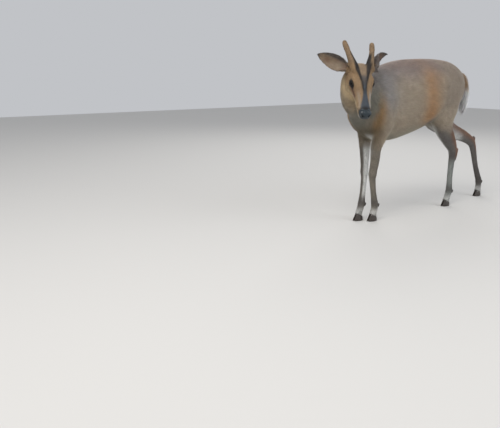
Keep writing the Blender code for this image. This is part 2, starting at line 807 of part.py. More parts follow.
def hoof(name, leg_name, sign):
    """One cleave: flat sole, pointed toe, flatter inner wall, cut off along the coronet."""
    foot = foot_of(leg_name)
    around = 20
    points = []
    for rise, half, centre in HOOF_LEVELS:
        for k in range(around):
            turn = 2 * math.pi * k / around
            side, ahead = math.sin(turn), math.cos(turn)
            narrow = 1.0 - 0.60 * max(0.0, ahead) ** 1.4
            flat = 0.80 if side * sign < 0 else 1.0
            lean = -sign * 0.0030 * max(0.0, ahead)
            across = side * HOOF_WIDE * (half / HOOF_LEVELS[0][1]) * narrow * flat
            x = foot.x + sign * HOOF_SPREAD + across + lean
            y = foot.y + centre - ahead * half
            points.append(Vector((x, y, SOLE + rise)))
    faces = []
    for i in range(len(HOOF_LEVELS) - 1):
        for k in range(around):
            n = (k + 1) % around
            faces.append((i * around + k, i * around + n, (i + 1) * around + n, (i + 1) * around + k))
    faces.append(tuple(range(around)))
    faces.append(tuple(range((len(HOOF_LEVELS) - 1) * around, len(HOOF_LEVELS) * around)))
    made = object_from(name, points, faces)
    face_outwards(made)
    return trimmed(made, foot - coronet_normal() * GAP, coronet_normal())


def trimmed(piece, place, normal):
    """Cuts away all that lies beyond the plane, and closes the cut."""
    work = bmesh.new()
    work.from_mesh(piece.data)
    everything = work.verts[:] + work.edges[:] + work.faces[:]
    found = bmesh.ops.bisect_plane(
        work, geom=everything, plane_co=place, plane_no=normal, clear_outer=True
    )
    edges = [item for item in found["geom_cut"] if isinstance(item, bmesh.types.BMEdge)]
    bmesh.ops.holes_fill(work, edges=edges)
    bmesh.ops.recalc_face_normals(work, faces=work.faces)
    work.to_mesh(piece.data)
    work.free()
    return piece


def dewclaw(name, leg_name, sign, grow=0.0):
    """A small spare hoof behind the fetlock."""
    row = LEGS[leg_name][-4]
    at = Vector((row[0] + sign * 0.0075, row[1] + row[5] - 0.0035, row[2] - 0.004))
    turn = Matrix.Rotation(-0.45, 3, "X")
    radii = (0.0038 + grow, 0.0040 + grow, 0.0080 + grow)
    return ellipsoid(name, at, radii, turn, detail=2)


TAIL = (
    (0.0, 0.486, 0.512, 0.0150, 0.0120, 0.0120),
    (0.0, 0.512, 0.500, 0.0160, 0.0120, 0.0125),
    (0.0, 0.532, 0.472, 0.0165, 0.0110, 0.0125),
    (0.0, 0.538, 0.438, 0.0175, 0.0100, 0.0120),
    (0.0, 0.537, 0.405, 0.0165, 0.0085, 0.0105),
    (0.0, 0.534, 0.378, 0.0110, 0.0060, 0.0070),
    (0.0, 0.533, 0.366, 0.0040, 0.0025, 0.0025),
)


def tail(name, grow=0.0):
    rows = [(*row[:3], row[3] + grow, row[4] + grow, row[5] + grow) for row in TAIL]
    first = Vector(rows[0][:3]) - Vector((0.0, 0.91, -0.42)) * grow
    rows[0] = (*first, *rows[0][3:])
    return lofted(name, rows, (0, -1, 0.0), around=12, steps=2)


def slabs_through(piece, cuts):
    for place, normal, reach_a, reach_b, toward in cuts:
        cut(piece, slab(Vector(place), Vector(normal), reach_a, reach_b, Vector(toward)))
    return piece


def head_place(point):
    return HEAD @ Vector(point)


def head_way(direction):
    return (HEAD.to_3x3() @ Vector(direction)).normalized()


def head_cuts():
    """Ear roots and the velvet tips, as thin cuts."""
    cuts = []
    for sign in (1, -1):
        root, aim, opening, across = ear_frame(sign)
        cuts.append((head_place(root), head_way(aim), 0.022, 0.022, head_way(opening)))
        high = pedicle_point(1 - BUD_SHARE, sign)
        way = high - pedicle_point(0.9 - BUD_SHARE, sign)
        cuts.append((head_place(high), head_way(way), 0.016, 0.016, head_way((0, 0, 1))))
    return cuts


def head_nodes(pad):
    flesh = head_flesh()
    for sign in (1, -1):
        cut(flesh, eyeball("socket", sign, GAP))
    cut(flesh, grown(pad, GAP * 1.2))
    slabs_through(flesh, head_cuts())
    places = {"head": head_place((0.02, 0.0, -0.01))}
    for sign, side in ((1, "left"), (-1, "right")):
        places["antler_" + side] = head_place(pedicle_point(0.85, sign))
        root, aim, opening, across = ear_frame(sign)
        places["ear_scrap_" + side] = head_place(root + aim * 0.005)
    return nearest_named(parted(flesh), places)


def body_nodes():
    flesh = body_flesh()
    trimmed(flesh, POLL - POLL_WAY * (GAP / 2), POLL_WAY)
    thinned(flesh, BODY_TRIANGLES)
    slabs_through(flesh, BODY_CUTS)
    cut(flesh, tail("tail_room", GAP))
    for name in LEGS:
        trim_foot(flesh, name)
        for sign in (1, -1):
            cut(flesh, dewclaw("claw_room", name, sign, GAP))
    return nearest_named(parted(flesh), NODE_PLACES)


def trim_foot(flesh, name):
    """Takes the leg's flesh away below the coronet."""
    foot = foot_of(name)
    normal = coronet_normal()
    below = slab(foot - normal * 0.020, normal, 0.045, 0.030, Vector((0, 1, 0)), 0.040)
    cut(flesh, below)


def settled(pieces):
    """Moves everything so the bounding box stands centred on the origin, on Z = 0."""
    corners = np.array([v.co[:] for piece in pieces for v in piece.data.vertices])
    low, high = corners.min(axis=0), corners.max(axis=0)
    shift = Vector((-(low[0] + high[0]) / 2, -(low[1] + high[1]) / 2, -low[2]))
    for piece in pieces:
        piece.data.transform(Matrix.Translation(shift))
    return shift


def coloured(piece, material, smooth=True):
    piece.data.materials.clear()
    piece.data.materials.append(material)
    for face in piece.data.polygons:
        face.use_smooth = smooth


clear_scene()
coat = material_of("coat", COAT_COLOUR, 0.85)
face = material_of("face_coat", HEAD_COLOUR, 0.85)
shank = material_of("shank_coat", SHANK_COLOUR, 0.85)
ear_skin = material_of("ear_skin", EAR_COLOUR, 0.8)
tail_coat = material_of("tail_coat", TAIL_COLOUR, 0.85)
velvet = material_of("velvet", VELVET_COLOUR, 0.9)
nose_skin = material_of("nose_skin", NOSE_COLOUR, 0.35)
eye_wet = material_of("eye_wet", EYE_COLOUR, 0.05)
horn = material_of("hoof_horn", HOOF_COLOUR, 0.5)

pad = nose_blob("nose_pad")
nodes = {}
nodes.update(head_nodes(pad))
nodes.update(body_nodes())
for scrap in [name for name in nodes if "scrap" in name]:
    bpy.data.objects.remove(nodes.pop(scrap))

for sign in (1, -1):
    cut(pad, nostril(sign))
nodes["nose_pad"] = pad
nodes["tail"] = tail("tail")
for sign, side in ((1, "left"), (-1, "right")):
    nodes["eye_" + side] = eyeball("eye_" + side, sign)
    nodes["ear_" + side] = ear("ear_" + side, sign)
for name in LEGS:
    outer = 1 if "left" in name else -1
    for sign in (1, -1):
        side = "outer" if sign == outer else "inner"
        hoof_name = name + "_hoof_" + side
        nodes[hoof_name] = hoof(hoof_name, name, sign)
        claw_name = name + "_dewclaw_" + side
        nodes[claw_name] = dewclaw(claw_name, name, sign)

for name, piece in nodes.items():
    if "hoof" in name or "dewclaw" in name:
        coloured(piece, horn)
    elif name.startswith("eye"):
        coloured(piece, eye_wet)
    elif name.startswith("ear"):
        coloured(piece, ear_skin)
    elif name.startswith("antler"):
        coloured(piece, velvet)
    elif name == "nose_pad":
        coloured(piece, nose_skin)
    elif name == "tail":
        coloured(piece, tail_coat)
    elif "lower" in name:
        coloured(piece, shank)
    elif name == "head":
        coloured(piece, face)
    else:
        coloured(piece, coat)

SHIFT = settled(list(nodes.values()))
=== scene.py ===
# %% [markdown]
# # A male muntjac, life size
# This is a still model of a small barking deer, such as a natural history museum shows.
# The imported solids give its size, its stance and every joint of its body. They are loaded
# first and stay where they are. One skin is then drawn over them, the coat grows from that
# skin as small solid tufts, and eyes, antlers and hooves are made as pieces of their own.

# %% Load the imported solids
import json
import math

import bpy
import numpy as np
from mathutils import Matrix, Vector
from mathutils.kdtree import KDTree

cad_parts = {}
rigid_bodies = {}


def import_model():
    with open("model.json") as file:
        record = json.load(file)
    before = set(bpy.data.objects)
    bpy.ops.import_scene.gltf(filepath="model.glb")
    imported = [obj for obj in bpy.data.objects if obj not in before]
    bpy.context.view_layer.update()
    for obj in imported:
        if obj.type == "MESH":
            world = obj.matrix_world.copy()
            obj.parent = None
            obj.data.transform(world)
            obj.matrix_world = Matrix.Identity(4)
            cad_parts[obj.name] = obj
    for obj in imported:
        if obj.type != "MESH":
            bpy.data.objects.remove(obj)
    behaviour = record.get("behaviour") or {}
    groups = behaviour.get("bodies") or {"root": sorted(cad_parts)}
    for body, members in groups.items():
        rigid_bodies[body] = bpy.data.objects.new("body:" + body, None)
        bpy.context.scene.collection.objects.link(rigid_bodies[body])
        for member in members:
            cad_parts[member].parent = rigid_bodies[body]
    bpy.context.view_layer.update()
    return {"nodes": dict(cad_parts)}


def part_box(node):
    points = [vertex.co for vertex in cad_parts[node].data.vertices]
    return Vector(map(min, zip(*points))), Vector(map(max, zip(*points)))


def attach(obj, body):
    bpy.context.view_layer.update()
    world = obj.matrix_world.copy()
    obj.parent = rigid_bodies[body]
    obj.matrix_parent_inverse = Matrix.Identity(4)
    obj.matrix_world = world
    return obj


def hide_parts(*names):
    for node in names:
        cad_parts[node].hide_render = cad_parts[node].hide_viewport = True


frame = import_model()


# %% [markdown]
# ## Small tools
# Everything is deselected before each operator, because an operator acts on all that is
# selected. Vertex places are read and written as arrays, which is how a sculptor's moves
# are given in code: each move is a smooth function of the place on the animal.

# %% Choosing objects, reading and writing vertices
def choose(*objects):
    bpy.ops.object.select_all(action="DESELECT")
    for item in objects:
        item.select_set(True)
    bpy.context.view_layer.objects.active = objects[0]


def read_rows(rows, field):
    found = np.empty(len(rows) * 3, np.float32)
    rows.foreach_get(field, found)
    return found.reshape(-1, 3).astype(float)


def places(piece):
    return read_rows(piece.data.vertices, "co")


def normals(piece):
    return read_rows(piece.data.vertex_normals, "vector")


def put_places(piece, points):
    piece.data.vertices.foreach_set("co", points.astype(np.float32).ravel())
    piece.data.update()


def apply_modifier(piece, kind, **settings):
    choose(piece)
    modifier = piece.modifiers.new(kind.title(), kind)
    for name, value in settings.items():
        setattr(modifier, name, value)
    bpy.ops.object.modifier_apply(modifier=modifier.name)


def select_vertices(piece, wanted):
    choose(piece)
    bpy.ops.object.mode_set(mode="EDIT")
    bpy.ops.mesh.select_mode(type="VERT")
    bpy.ops.mesh.select_all(action="DESELECT")
    bpy.ops.object.mode_set(mode="OBJECT")
    piece.data.vertices.foreach_set("select", wanted)
    bpy.ops.object.mode_set(mode="EDIT")


# %% Directions, soft steps and humps, and a gentle mottle
def unit(rows):
    return rows / np.maximum(np.linalg.norm(rows, axis=1, keepdims=True), 1e-9)


def step(value, low, high):
    t = np.clip((value - low) / (high - low), 0.0, 1.0)
    return t * t * (3 - 2 * t)


def hump(value, centre, half):
    return np.exp(-(((value - centre) / half) ** 2))


WAVES, WAVES_REACH, WAVE_TURN = 14, 3.7, 6.28


def mottle(points, size, seed):
    """A smooth pattern between about -1 and 1, with patches of this size in metres."""
    dice = np.random.default_rng(seed)
    total = np.zeros(len(points))
    for _ in range(WAVES):
        way = dice.normal(size=3)
        way *= (0.7 + 0.6 * dice.random()) * math.pi / (size * np.linalg.norm(way))
        total += np.sin(points @ way + dice.random() * WAVE_TURN)
    return total / WAVES_REACH


# %% [markdown]
# ## The head's own directions
# The deer looks round to its left, with its head lowered. Marks on the face are easiest to
# give in the head's own frame: u runs forward to the nose, v to the animal's left and w up
# through the crown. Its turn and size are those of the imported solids, and its place is
# read from the two eyes.

# %% From the animal to the head and back
HEAD_YAW, HEAD_PITCH, HEAD_ROLL = math.radians(61.4), math.radians(44.3), math.radians(-1.8)
HEAD_SCALE = 0.92
EYE_RADIUS = 0.0132
EYE_PLACE = (0.0020, 0.0322, 0.0010)


def head_axes():
    level = np.array((math.sin(HEAD_YAW), -math.cos(HEAD_YAW), 0.0))
    left = np.array((math.cos(HEAD_YAW), math.sin(HEAD_YAW), 0.0))
    rise = np.array((0.0, 0.0, 1.0))
    ahead = level * math.cos(HEAD_PITCH) - rise * math.sin(HEAD_PITCH)
    crown = level * math.sin(HEAD_PITCH) + rise * math.cos(HEAD_PITCH)
    side = left * math.cos(HEAD_ROLL) + crown * math.sin(HEAD_ROLL)
    top = crown * math.cos(HEAD_ROLL) - left * math.sin(HEAD_ROLL)
    return np.array((ahead, side, top))


def middle_of(name):
    return np.mean([np.array(corner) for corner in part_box(name)], axis=0)


AXES = head_axes()
BETWEEN_EYES = np.array((EYE_PLACE[0], 0.0, EYE_PLACE[2]))
HEAD_AT = (middle_of("eye_left") + middle_of("eye_right")) / 2 - BETWEEN_EYES * HEAD_SCALE @ AXES


def in_head(points):
    return (points - HEAD_AT) @ AXES.T / HEAD_SCALE


def from_head(points):
    return np.asarray(points, float) * HEAD_SCALE @ AXES + HEAD_AT


def head_way(direction):
    way = np.asarray(direction, float) @ AXES
    return way / np.linalg.norm(way)


print("head at", HEAD_AT.round(4), "nose tip at", from_head((0.128, 0, -0.04)).round(4))


# %% [markdown]
# ## The ears and pedicles in numbers
# A muntjac's antlers stand on long hairy pedicles that run back from the brow, and its ears
# are wide leaves that turn on their own. Both are described as in the solids, by a root and
# an aim in the head's frame, so that hair and colour can follow them.

# %% Distances along and across an ear or a pedicle
EARS = {
    1: ((-0.066, 0.045, 0.012), (-0.070, 0.062, -0.008), (-0.10, 0.95, 0.10)),
    -1: ((-0.066, -0.046, 0.010), (-0.039, -0.098, 0.020), (0.62, -0.30, 0.56)),
}
EAR_LENGTH = 0.116
PEDICLES = {
    1: ((-0.040, 0.0240, 0.030), (-0.092, 0.0180, 0.045)),
    -1: ((-0.040, -0.0255, 0.030), (-0.092, -0.0350, 0.043)),
}
PEDICLE_LENGTHS = {1: 0.097, -1: 0.108}
PEDICLE_BOW = (0.0, 0.004, 0.006)


def ear_axes(sign):
    root, aim, opening = (np.array(v) for v in EARS[sign])
    aim /= np.linalg.norm(aim)
    opening -= aim * (opening @ aim)
    opening /= np.linalg.norm(opening)
    across = np.cross(aim, opening)
    return root, aim, opening, across * (1 if across[2] > 0 else -1)


def along_ear(at, sign):
    """Share along the ear, and how far up across it and out of its cup, in metres."""
    root, aim, opening, across = ear_axes(sign)
    away = at - root
    return away @ aim / EAR_LENGTH, away @ across, away @ opening


def along_pedicle(at, sign):
    root, aim = (np.array(v) for v in PEDICLES[sign])
    aim /= np.linalg.norm(aim)
    share = (at - root) @ aim / PEDICLE_LENGTHS[sign]
    centre = root + aim * (np.clip(share, 0, 1) * PEDICLE_LENGTHS[sign])[:, None]
    bow = np.array(PEDICLE_BOW) * (1, sign, 1)
    centre += bow * np.sin(math.pi * np.clip(share, 0, 1))[:, None]
    return share, np.linalg.norm(at - centre, axis=1)


print("ears aim:", {s: ear_axes(s)[1].round(2).tolist() for s in (1, -1)})


# %% [markdown]
# ## Eyes sit between the lids
# The eye is a large dark ball. The almond of the lids is given in the eye's own directions:
# how far a place lies along the slit and how far above or below it. The same numbers shape
# the lids, keep hair off the ball and paint the dark rim.

# %% The eye's own directions
EYE_LOOK = (0.42, 0.89, 0.12)
SLIT_WAY = (1.0, 0.0, -0.22)


def eye_axes(sign):
    """Centre, the way the eye looks, its long way and its upward way, in the head's frame."""
    centre = np.array((EYE_PLACE[0], EYE_PLACE[1] * sign, EYE_PLACE[2]))
    look = np.array((EYE_LOOK[0], EYE_LOOK[1] * sign, EYE_LOOK[2]))
    look /= np.linalg.norm(look)
    along = np.array(SLIT_WAY) - look * look[0]
    along /= np.linalg.norm(along)
    crown = np.cross(look, along)
    return centre, look, along, crown * (1 if crown[2] > 0 else -1)


def eye_map(at, sign):
    """Where places lie round the ball: how far along the slit, how far up, and their reach."""
    centre, look, along, crown = eye_axes(sign)
    away = at - centre
    reach = np.maximum(np.linalg.norm(away, axis=1), 1e-6)
    angle = np.arccos(np.clip(away @ look / reach, -1, 1))
    long, up = away @ along, away @ crown
    arc = np.maximum(reach, EYE_RADIUS) * angle / np.maximum(np.hypot(long, up), 1e-9)
    return long * arc, up * arc, reach


def on_eye(long, up, height, sign):
    """The places that lie so far along the slit, so far up and so high over the ball."""
    centre, look, along, crown = eye_axes(sign)
    arc = np.maximum(np.hypot(long, up), 1e-9)
    sideways = (np.outer(long, along) + np.outer(up, crown)) / arc[:, None]
    way = np.outer(np.cos(arc / EYE_RADIUS), look) + sideways * np.sin(arc / EYE_RADIUS)[:, None]
    return centre + way * (EYE_RADIUS + height)[:, None]


SLIT_FRONT, SLIT_REAR = 0.0160, 0.0142
SLIT_UPPER, SLIT_LOWER = 0.0084, 0.0074
SLIT_POWER = 1.65
SLIT_FALL = 0.16


def almond(long, up):
    """1 on the lids' edge: a slit with pointed corners, the front one drawn out and down."""
    up = up + SLIT_FALL * long
    wide = np.where(long > 0, SLIT_FRONT, SLIT_REAR)
    high = np.where(up > 0, SLIT_UPPER, SLIT_LOWER)
    return (np.abs(long / wide) ** SLIT_POWER + np.abs(up / high) ** SLIT_POWER) ** (1 / SLIT_POWER)


def eye_distance(at):
    """About 1 on the edge of the lids' almond, less inside it, more outside."""
    near = [almond(*eye_map(at, s)[:2]) for s in (1, -1)]
    return np.minimum(*near)


print("left eye looks:", head_way(eye_axes(1)[1]).round(2))


# %% [markdown]
# ## One skin over the flesh
# Under a real coat the skin runs from nose to hoof without a seam, while the solids are
# cut into parts that almost touch. Copies of those parts are swelled by a hair's breadth
# so that they meet, joined, and wrapped in one fine surface by a voxel remesh. A remesh is
# chosen over boolean unions because it rounds each meeting as flesh does. A small ball joins
# them first, as the pad of flesh between the right ear and its pedicle. The body is then
# thinned and smoothed, and the head keeps its fine grid for the face.

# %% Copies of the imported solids
MERGE = 1e-5


def copied(names, swell=0.0):
    """Copies CAD nodes, frees them of their parents and merges their loose triangles."""
    choose(*[frame["nodes"][name] for name in names])
    bpy.ops.object.duplicate()
    made = list(bpy.context.selected_objects)
    bpy.ops.object.parent_clear(type="CLEAR_KEEP_TRANSFORM")
    bpy.ops.object.mode_set(mode="EDIT")
    bpy.ops.mesh.select_all(action="SELECT")
    bpy.ops.mesh.remove_doubles(threshold=MERGE)
    if swell:
        bpy.ops.transform.shrink_fatten(value=swell)
    bpy.ops.object.mode_set(mode="OBJECT")
    return made


# %% Copy the flesh and wrap it
OWN_PIECES = ("eye", "antler", "hoof", "dewclaw")
FLESH = [name for name in frame["nodes"] if not any(word in name for word in OWN_PIECES)]
SWELL = 0.0006
FINE = 0.00125

copies = copied(FLESH, SWELL)
part_points, part_names = [], []
for copy in copies:
    part_points.append(places(copy))
    part_names += [copy.name.rsplit(".", 1)[0]] * len(copy.data.vertices)
part_points = np.vstack(part_points)

EAR_PAD = (-0.066, -0.039, 0.0245)
EAR_PAD_RADIUS = 0.0078
ear_pad_at = from_head([EAR_PAD])[0]
bpy.ops.object.select_all(action="DESELECT")
bpy.ops.mesh.primitive_ico_sphere_add(subdivisions=3, radius=EAR_PAD_RADIUS, location=ear_pad_at)
choose(*copies, bpy.context.active_object)
bpy.context.view_layer.objects.active = copies[0]
bpy.ops.object.join()
skin = bpy.context.active_object
skin.name = "skin"
skin.data.name = "skin"
apply_modifier(skin, "REMESH", mode="VOXEL", voxel_size=FINE, adaptivity=0.0)
print("wrapped skin:", len(skin.data.vertices), "vertices")


# %% Which vertices are the head's
def head_share(points):
    """1 on the head, ears and pedicles, 0 from the neck back."""
    at = in_head(points)
    share = step(at[:, 0], -0.105, -0.085)
    for s in (1, -1):
        along, across, out = along_ear(at, s)
        share = np.maximum(share, step(along, 0.0, 0.1) * (np.hypot(across, out) < 0.045))
        along, off = along_pedicle(at, s)
        share = np.maximum(share, step(along, 0.2, 0.4) * (off < 0.03))
    return share * step(points[:, 2], 0.36, 0.37) * step(-points[:, 1], 0.20, 0.22)


# %% Thin the body and keep the head fine
def thin_where(piece, wanted, ratio):
    select_vertices(piece, wanted)
    bpy.ops.mesh.decimate(ratio=ratio)
    bpy.ops.object.mode_set(mode="OBJECT")


LEG_TOP = 0.30
BODY_KEPT, LEGS_KEPT, HEAD_KEPT = ((0.038, 0.09, 0.155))
points = places(skin)
thin_where(skin, (head_share(points) < 0.5) & (points[:, 2] > LEG_TOP), BODY_KEPT)
points = places(skin)
thin_where(skin, points[:, 2] <= LEG_TOP, LEGS_KEPT)
points = places(skin)
head_side = head_share(points) > 0.5
print("thinned skin:", len(points), "vertices,", int(head_side.sum()), "on the head")


# %% Smooth each part by its own amount
def smooth_where(piece, weights, rounds, name):
    group = piece.vertex_groups.new(name=name)
    levels = np.round(weights * 20) / 20
    for level in np.unique(levels):
        if level > 0:
            group.add(np.nonzero(levels == level)[0].tolist(), float(level), "REPLACE")
    apply_modifier(piece, "SMOOTH", factor=0.5, iterations=rounds, vertex_group=name)
    piece.vertex_groups.remove(piece.vertex_groups[name])


x, y, z = points.T
body_share = 1.0 - head_share(points)
torso_share = body_share * step(z, 0.25, 0.33)
# Each row: the group's name, its rounds of smoothing, and its share of every vertex.
SMOOTHED = (
    ("torso", 14, torso_share),
    ("legs", 6, body_share * (1 - torso_share)),
    ("withers", 45, body_share * hump(y, -0.288, 0.085) * step(z, 0.37, 0.42)),
    ("pasterns", 14, step(z, 0.024, 0.030) * (1 - step(z, 0.050, 0.062))),
    ("hocks", 8, body_share * hump(z, 0.225, 0.05) * (y > 0.08)),
    ("face", 5, head_share(points)),
)
for name, rounds, share in SMOOTHED:
    smooth_where(skin, share, rounds, name)
print("smoothed skin box:", places(skin).min(0), places(skin).max(0))


# %% [markdown]
# ## The face, sculpted
# The remesh leaves the lids, nostrils and lips soft. The grid is made finer there with a
# subdivision, and the forms are then pushed and pulled as with a sculpting brush: every
# stroke is a smooth hump in the head's own directions. The lids hug the ball, a fold runs
# above them, the tear gland opens in front of the eye, and the nose gets its grooves.

# %% Finer faces round the eyes, nose and mouth
def eye_reach(at):
    """Distance from the nearer eye's centre."""
    return np.minimum(*(np.linalg.norm(at - eye_axes(s)[0], axis=1) for s in (1, -1)))


MOUTH_AT = (0.0630, 0.0760, 0.0900, 0.1020, 0.1120, 0.1180)
MOUTH_HEIGHT = (-0.0405, -0.0425, -0.0455, -0.0480, -0.0500, -0.0505)
FAR_OFF = 9.0


def mouth_off(at):
    """Distance above or below the line between the lips, FAR_OFF away from the muzzle."""
    u, v, w = at.T
    off = np.abs(w - np.interp(u, MOUTH_AT, MOUTH_HEIGHT)) + 0.5 * np.maximum(MOUTH_AT[0] - u, 0)
    return np.where((u > 0.056) & (np.abs(v) < 0.04), off, FAR_OFF)


def fine_share(at):
    lips = (at[:, 0] > 0.062) & (mouth_off(at) < 0.0045)
    eyes_and_nose = (eye_reach(at) < 0.020) | (at[:, 0] > 0.098) | lips
    return eyes_and_nose & (np.abs(at[:, 1]) < 0.06) & (at[:, 2] > -0.062)


select_vertices(skin, fine_share(in_head(places(skin))) & head_side)
bpy.ops.mesh.subdivide(number_cuts=1, smoothness=0.6)
bpy.ops.object.mode_set(mode="OBJECT")
print("skin with a finer face:", len(skin.data.vertices), "vertices")


# %% Strokes on the lids
LID_UNDER = 0.0009


def hug_eyes(at):
    """Lays the skin on the ball round the lids' edge and presses the fold above them."""
    for sign in (1, -1):
        centre, look = eye_axes(sign)[:2]
        long, up, reach = eye_map(at, sign)
        slit = almond(long, up)
        facing = step((at - centre) @ look, -0.003, 0.001) * (reach < 2 * EYE_RADIUS)
        hidden = 1 - step(slit, 1.02, 1.12)
        rest = EYE_RADIUS + LID_UNDER - 0.0024 * hidden
        moved = reach + (rest - reach) * (1 - step(slit, 1.42, 1.95)) * facing
        upper = step(up, -0.002, 0.006)
        moved -= 0.0012 * hump(slit, 1.72, 0.20) * upper * facing
        moved += 0.0010 * hump(slit, 2.20, 0.34) * upper * facing
        moved -= 0.0006 * hump(slit, 1.80, 0.22) * (1 - upper) * facing
        at = centre + (at - centre) * (moved / reach)[:, None]
    return at


# %% Strokes on the tear gland, cheek and brow
def near_line(at, start, end):
    """Distance from the stretch between two places, and the share along it."""
    start, end = np.array(start), np.array(end)
    run = end - start
    share = np.clip((at - start) @ run / (run @ run), 0, 1)
    return np.linalg.norm(at - start - share[:, None] * run, axis=1), share


def pushed(at, outward, amount):
    """Moves places along their normals, inwards where the amount is negative."""
    return at + outward * amount[:, None]


def carve_face(at, outward):
    for s in (1, -1):
        off, share = near_line(at, (0.0150, 0.0365 * s, -0.0070), (0.0400, 0.0300 * s, -0.0185))
        fade = np.sin(math.pi * np.clip(share, 0.05, 0.95))
        at = pushed(at, outward, -0.0016 * hump(off, 0, 0.0016) * fade)
        at = pushed(at, outward, 0.0008 * hump(off, 0.0040, 0.0016))
        off = near_line(at, (0.010, 0.0400 * s, -0.0200), (-0.045, 0.0430 * s, -0.0180))[0]
        at = pushed(at, outward, 0.0012 * hump(off, 0, 0.0070))
        off = near_line(at, (-0.052, 0.0210 * s, 0.0400), (0.004, 0.0118 * s, 0.0260))[0]
        at = pushed(at, outward, -0.0010 * hump(off, 0, 0.0017))
    return at


# %% Strokes on the nose and lips
NOSE_FORMS = (
    ((0.1125, 0.0000, -0.0375), (0.0160, 0.0182, 0.0165)),
    ((0.1110, 0.0105, -0.0310), (0.0140, 0.0108, 0.0115)),
    ((0.1110, -0.0105, -0.0310), (0.0140, 0.0108, 0.0115)),
)


def nose_reach(at):
    """Below 1 inside the three rounds that the bare pad is made of."""
    rounds = [np.linalg.norm((at - middle) / np.array(radii), axis=1) for middle, radii in NOSE_FORMS]
    return np.min(rounds, axis=0)


def carve_nose(at, outward):
    u, v, w = at.T
    front = step(u, 0.112, 0.120)
    at = pushed(at, outward, -0.0014 * hump(v, 0, 0.0011) * front * step(-w, 0.034, 0.040))
    for s in (1, -1):
        off, share = near_line(at, (0.1240, 0.0100 * s, -0.0340), (0.1130, 0.0190 * s, -0.0285))
        at = pushed(at, outward, -0.0040 * hump(off, 0, 0.0021) * (1 - 0.6 * share))
        rim = step(at[:, 2], -0.034, -0.028)
        at = pushed(at, outward, 0.0012 * hump(off, 0.0048, 0.0017) * rim)
    off = mouth_off(at)
    at = pushed(at, outward, -0.0030 * hump(off, 0, 0.0012))
    return pushed(at, outward, 0.0010 * hump(off, 0.0036, 0.0018))


points = places(skin)
here = np.nonzero(head_share(points) > 0.5)[0]
outward = unit(normals(skin)[here] @ AXES.T)
at = hug_eyes(in_head(points[here]))
at = carve_nose(carve_face(at, outward), outward)
points[here] = from_head(at)
put_places(skin, points)
lids = (eye_reach(in_head(points)) < 0.024).astype(float) * head_share(points)
smooth_where(skin, lids * 0.5, 2, "lids")
print("sculpted", len(here), "vertices of the head")


# %% Thin the rest of the head
points = places(skin)
at = in_head(points)
plain_head = (head_share(points) > 0.5) & (eye_reach(at) > 0.022) & (at[:, 0] < 0.056)
thin_where(skin, plain_head, HEAD_KEPT)
print("skin after thinning:", len(skin.data.vertices), "vertices")


# %% [markdown]
# ## What part of the body a place belongs to
# The coat's length, lie and colour differ from part to part. Each vertex of the skin asks
# which of the copied parts was nearest, so the names of the solids become a map of the
# animal. The fields made from that map are softened over the mesh later, so nothing shows
# where one part ends.

# %% Name the nearest part of every vertex
tree = KDTree(len(part_points))
for i, at in enumerate(part_points):
    tree.insert(at, i)
tree.balance()


def nearest_parts(points):
    return np.array([part_names[tree.find(at)[1]] for at in points])


points = places(skin)
part_at = nearest_parts(points)
print("parts:", {str(n): int((part_at == n).sum()) for n in np.unique(part_at)})


def on_part(*starts):
    """1 where the nearest part's name starts with one of these."""
    return np.array([name.startswith(starts) for name in part_at]).astype(float)


# %% Soften a field over the skin
OWN_WEIGHT = 0.4


def soften(field, rounds):
    """Draws each vertex's value towards the mean of its neighbours, some rounds over."""
    edges = np.empty(len(skin.data.edges) * 2, np.int32)
    skin.data.edges.foreach_get("vertices", edges)
    a, b = edges.reshape(-1, 2).T
    count = np.bincount(a, minlength=len(field)) + np.bincount(b, minlength=len(field))
    flat = field.reshape(len(field), -1).astype(float)
    for _ in range(rounds):
        for k in range(flat.shape[1]):
            around = np.bincount(a, flat[b, k], len(flat)) + np.bincount(b, flat[a, k], len(flat))
            near = (1 - OWN_WEIGHT) * around / np.maximum(count, 1)
            flat[:, k] = OWN_WEIGHT * flat[:, k] + near
    return flat.reshape(field.shape)


# %% Masks on the face, from the head's own places
at_head = in_head(points)
head_mask = on_part("head", "nose", "ear")
ear_mask = {s: on_part("ear_left" if s > 0 else "ear_right") for s in (1, -1)}
pedicle_mask = {}
for s in (1, -1):
    share, off = along_pedicle(at_head, s)
    pedicle_mask[s] = on_part("head") * step(share, 0.02, 0.16) * (1 - step(off, 0.018, 0.024))
nose_mask = head_mask * (1 - step(nose_reach(at_head), 1.13, 1.21))
print("nose vertices:", int(nose_mask.sum()))

eye_near = np.where(head_mask > 0, eye_distance(at_head), FAR_OFF)
print("vertices on the lids:", int((eye_near < 1.6).sum()))


# %% [markdown]
# ## The lie of the coat
# Hair grows in streams: back over the face, down the neck and shoulders, back and down over
# the ribs, and down the legs. A rough direction is written for each part, then softened over
# the skin so that one stream turns into the next, as it does at a real whorl.

# %% Mix colours or directions by a share
def mixed(rows, other, share):
    share = np.clip(share, 0, 1)[:, None]
    return rows * (1 - share) + np.array(other) * share


def layered(rows, *layers):
    """Lays one colour after another over the rows, each by its own share."""
    for other, share in layers:
        rows = mixed(rows, other, share)
    return rows


# %% A direction for every vertex
normal = normals(skin)
LIMB_WAYS = {
    "foreleg": (0.0, 0.20, -1.0),
    "hindleg_left_upper": (0.0, 0.50, -0.9),
    "hindleg_right_upper": (0.0, 0.85, -0.6),
    "hindleg_left_lower": (0.0, -0.10, -1.0),
    "hindleg_right_lower": (0.0, -0.10, -1.0),
    "tail": (0.0, 0.25, -1.0),
}
STREAM_ROUNDS = 12
BREAST_WAY = (0.0, 0.35, -1.0)
NAPE_WAY, THROAT_WAY = (-0.25, 0.9, -0.35), (-0.15, 0.4, -0.9)


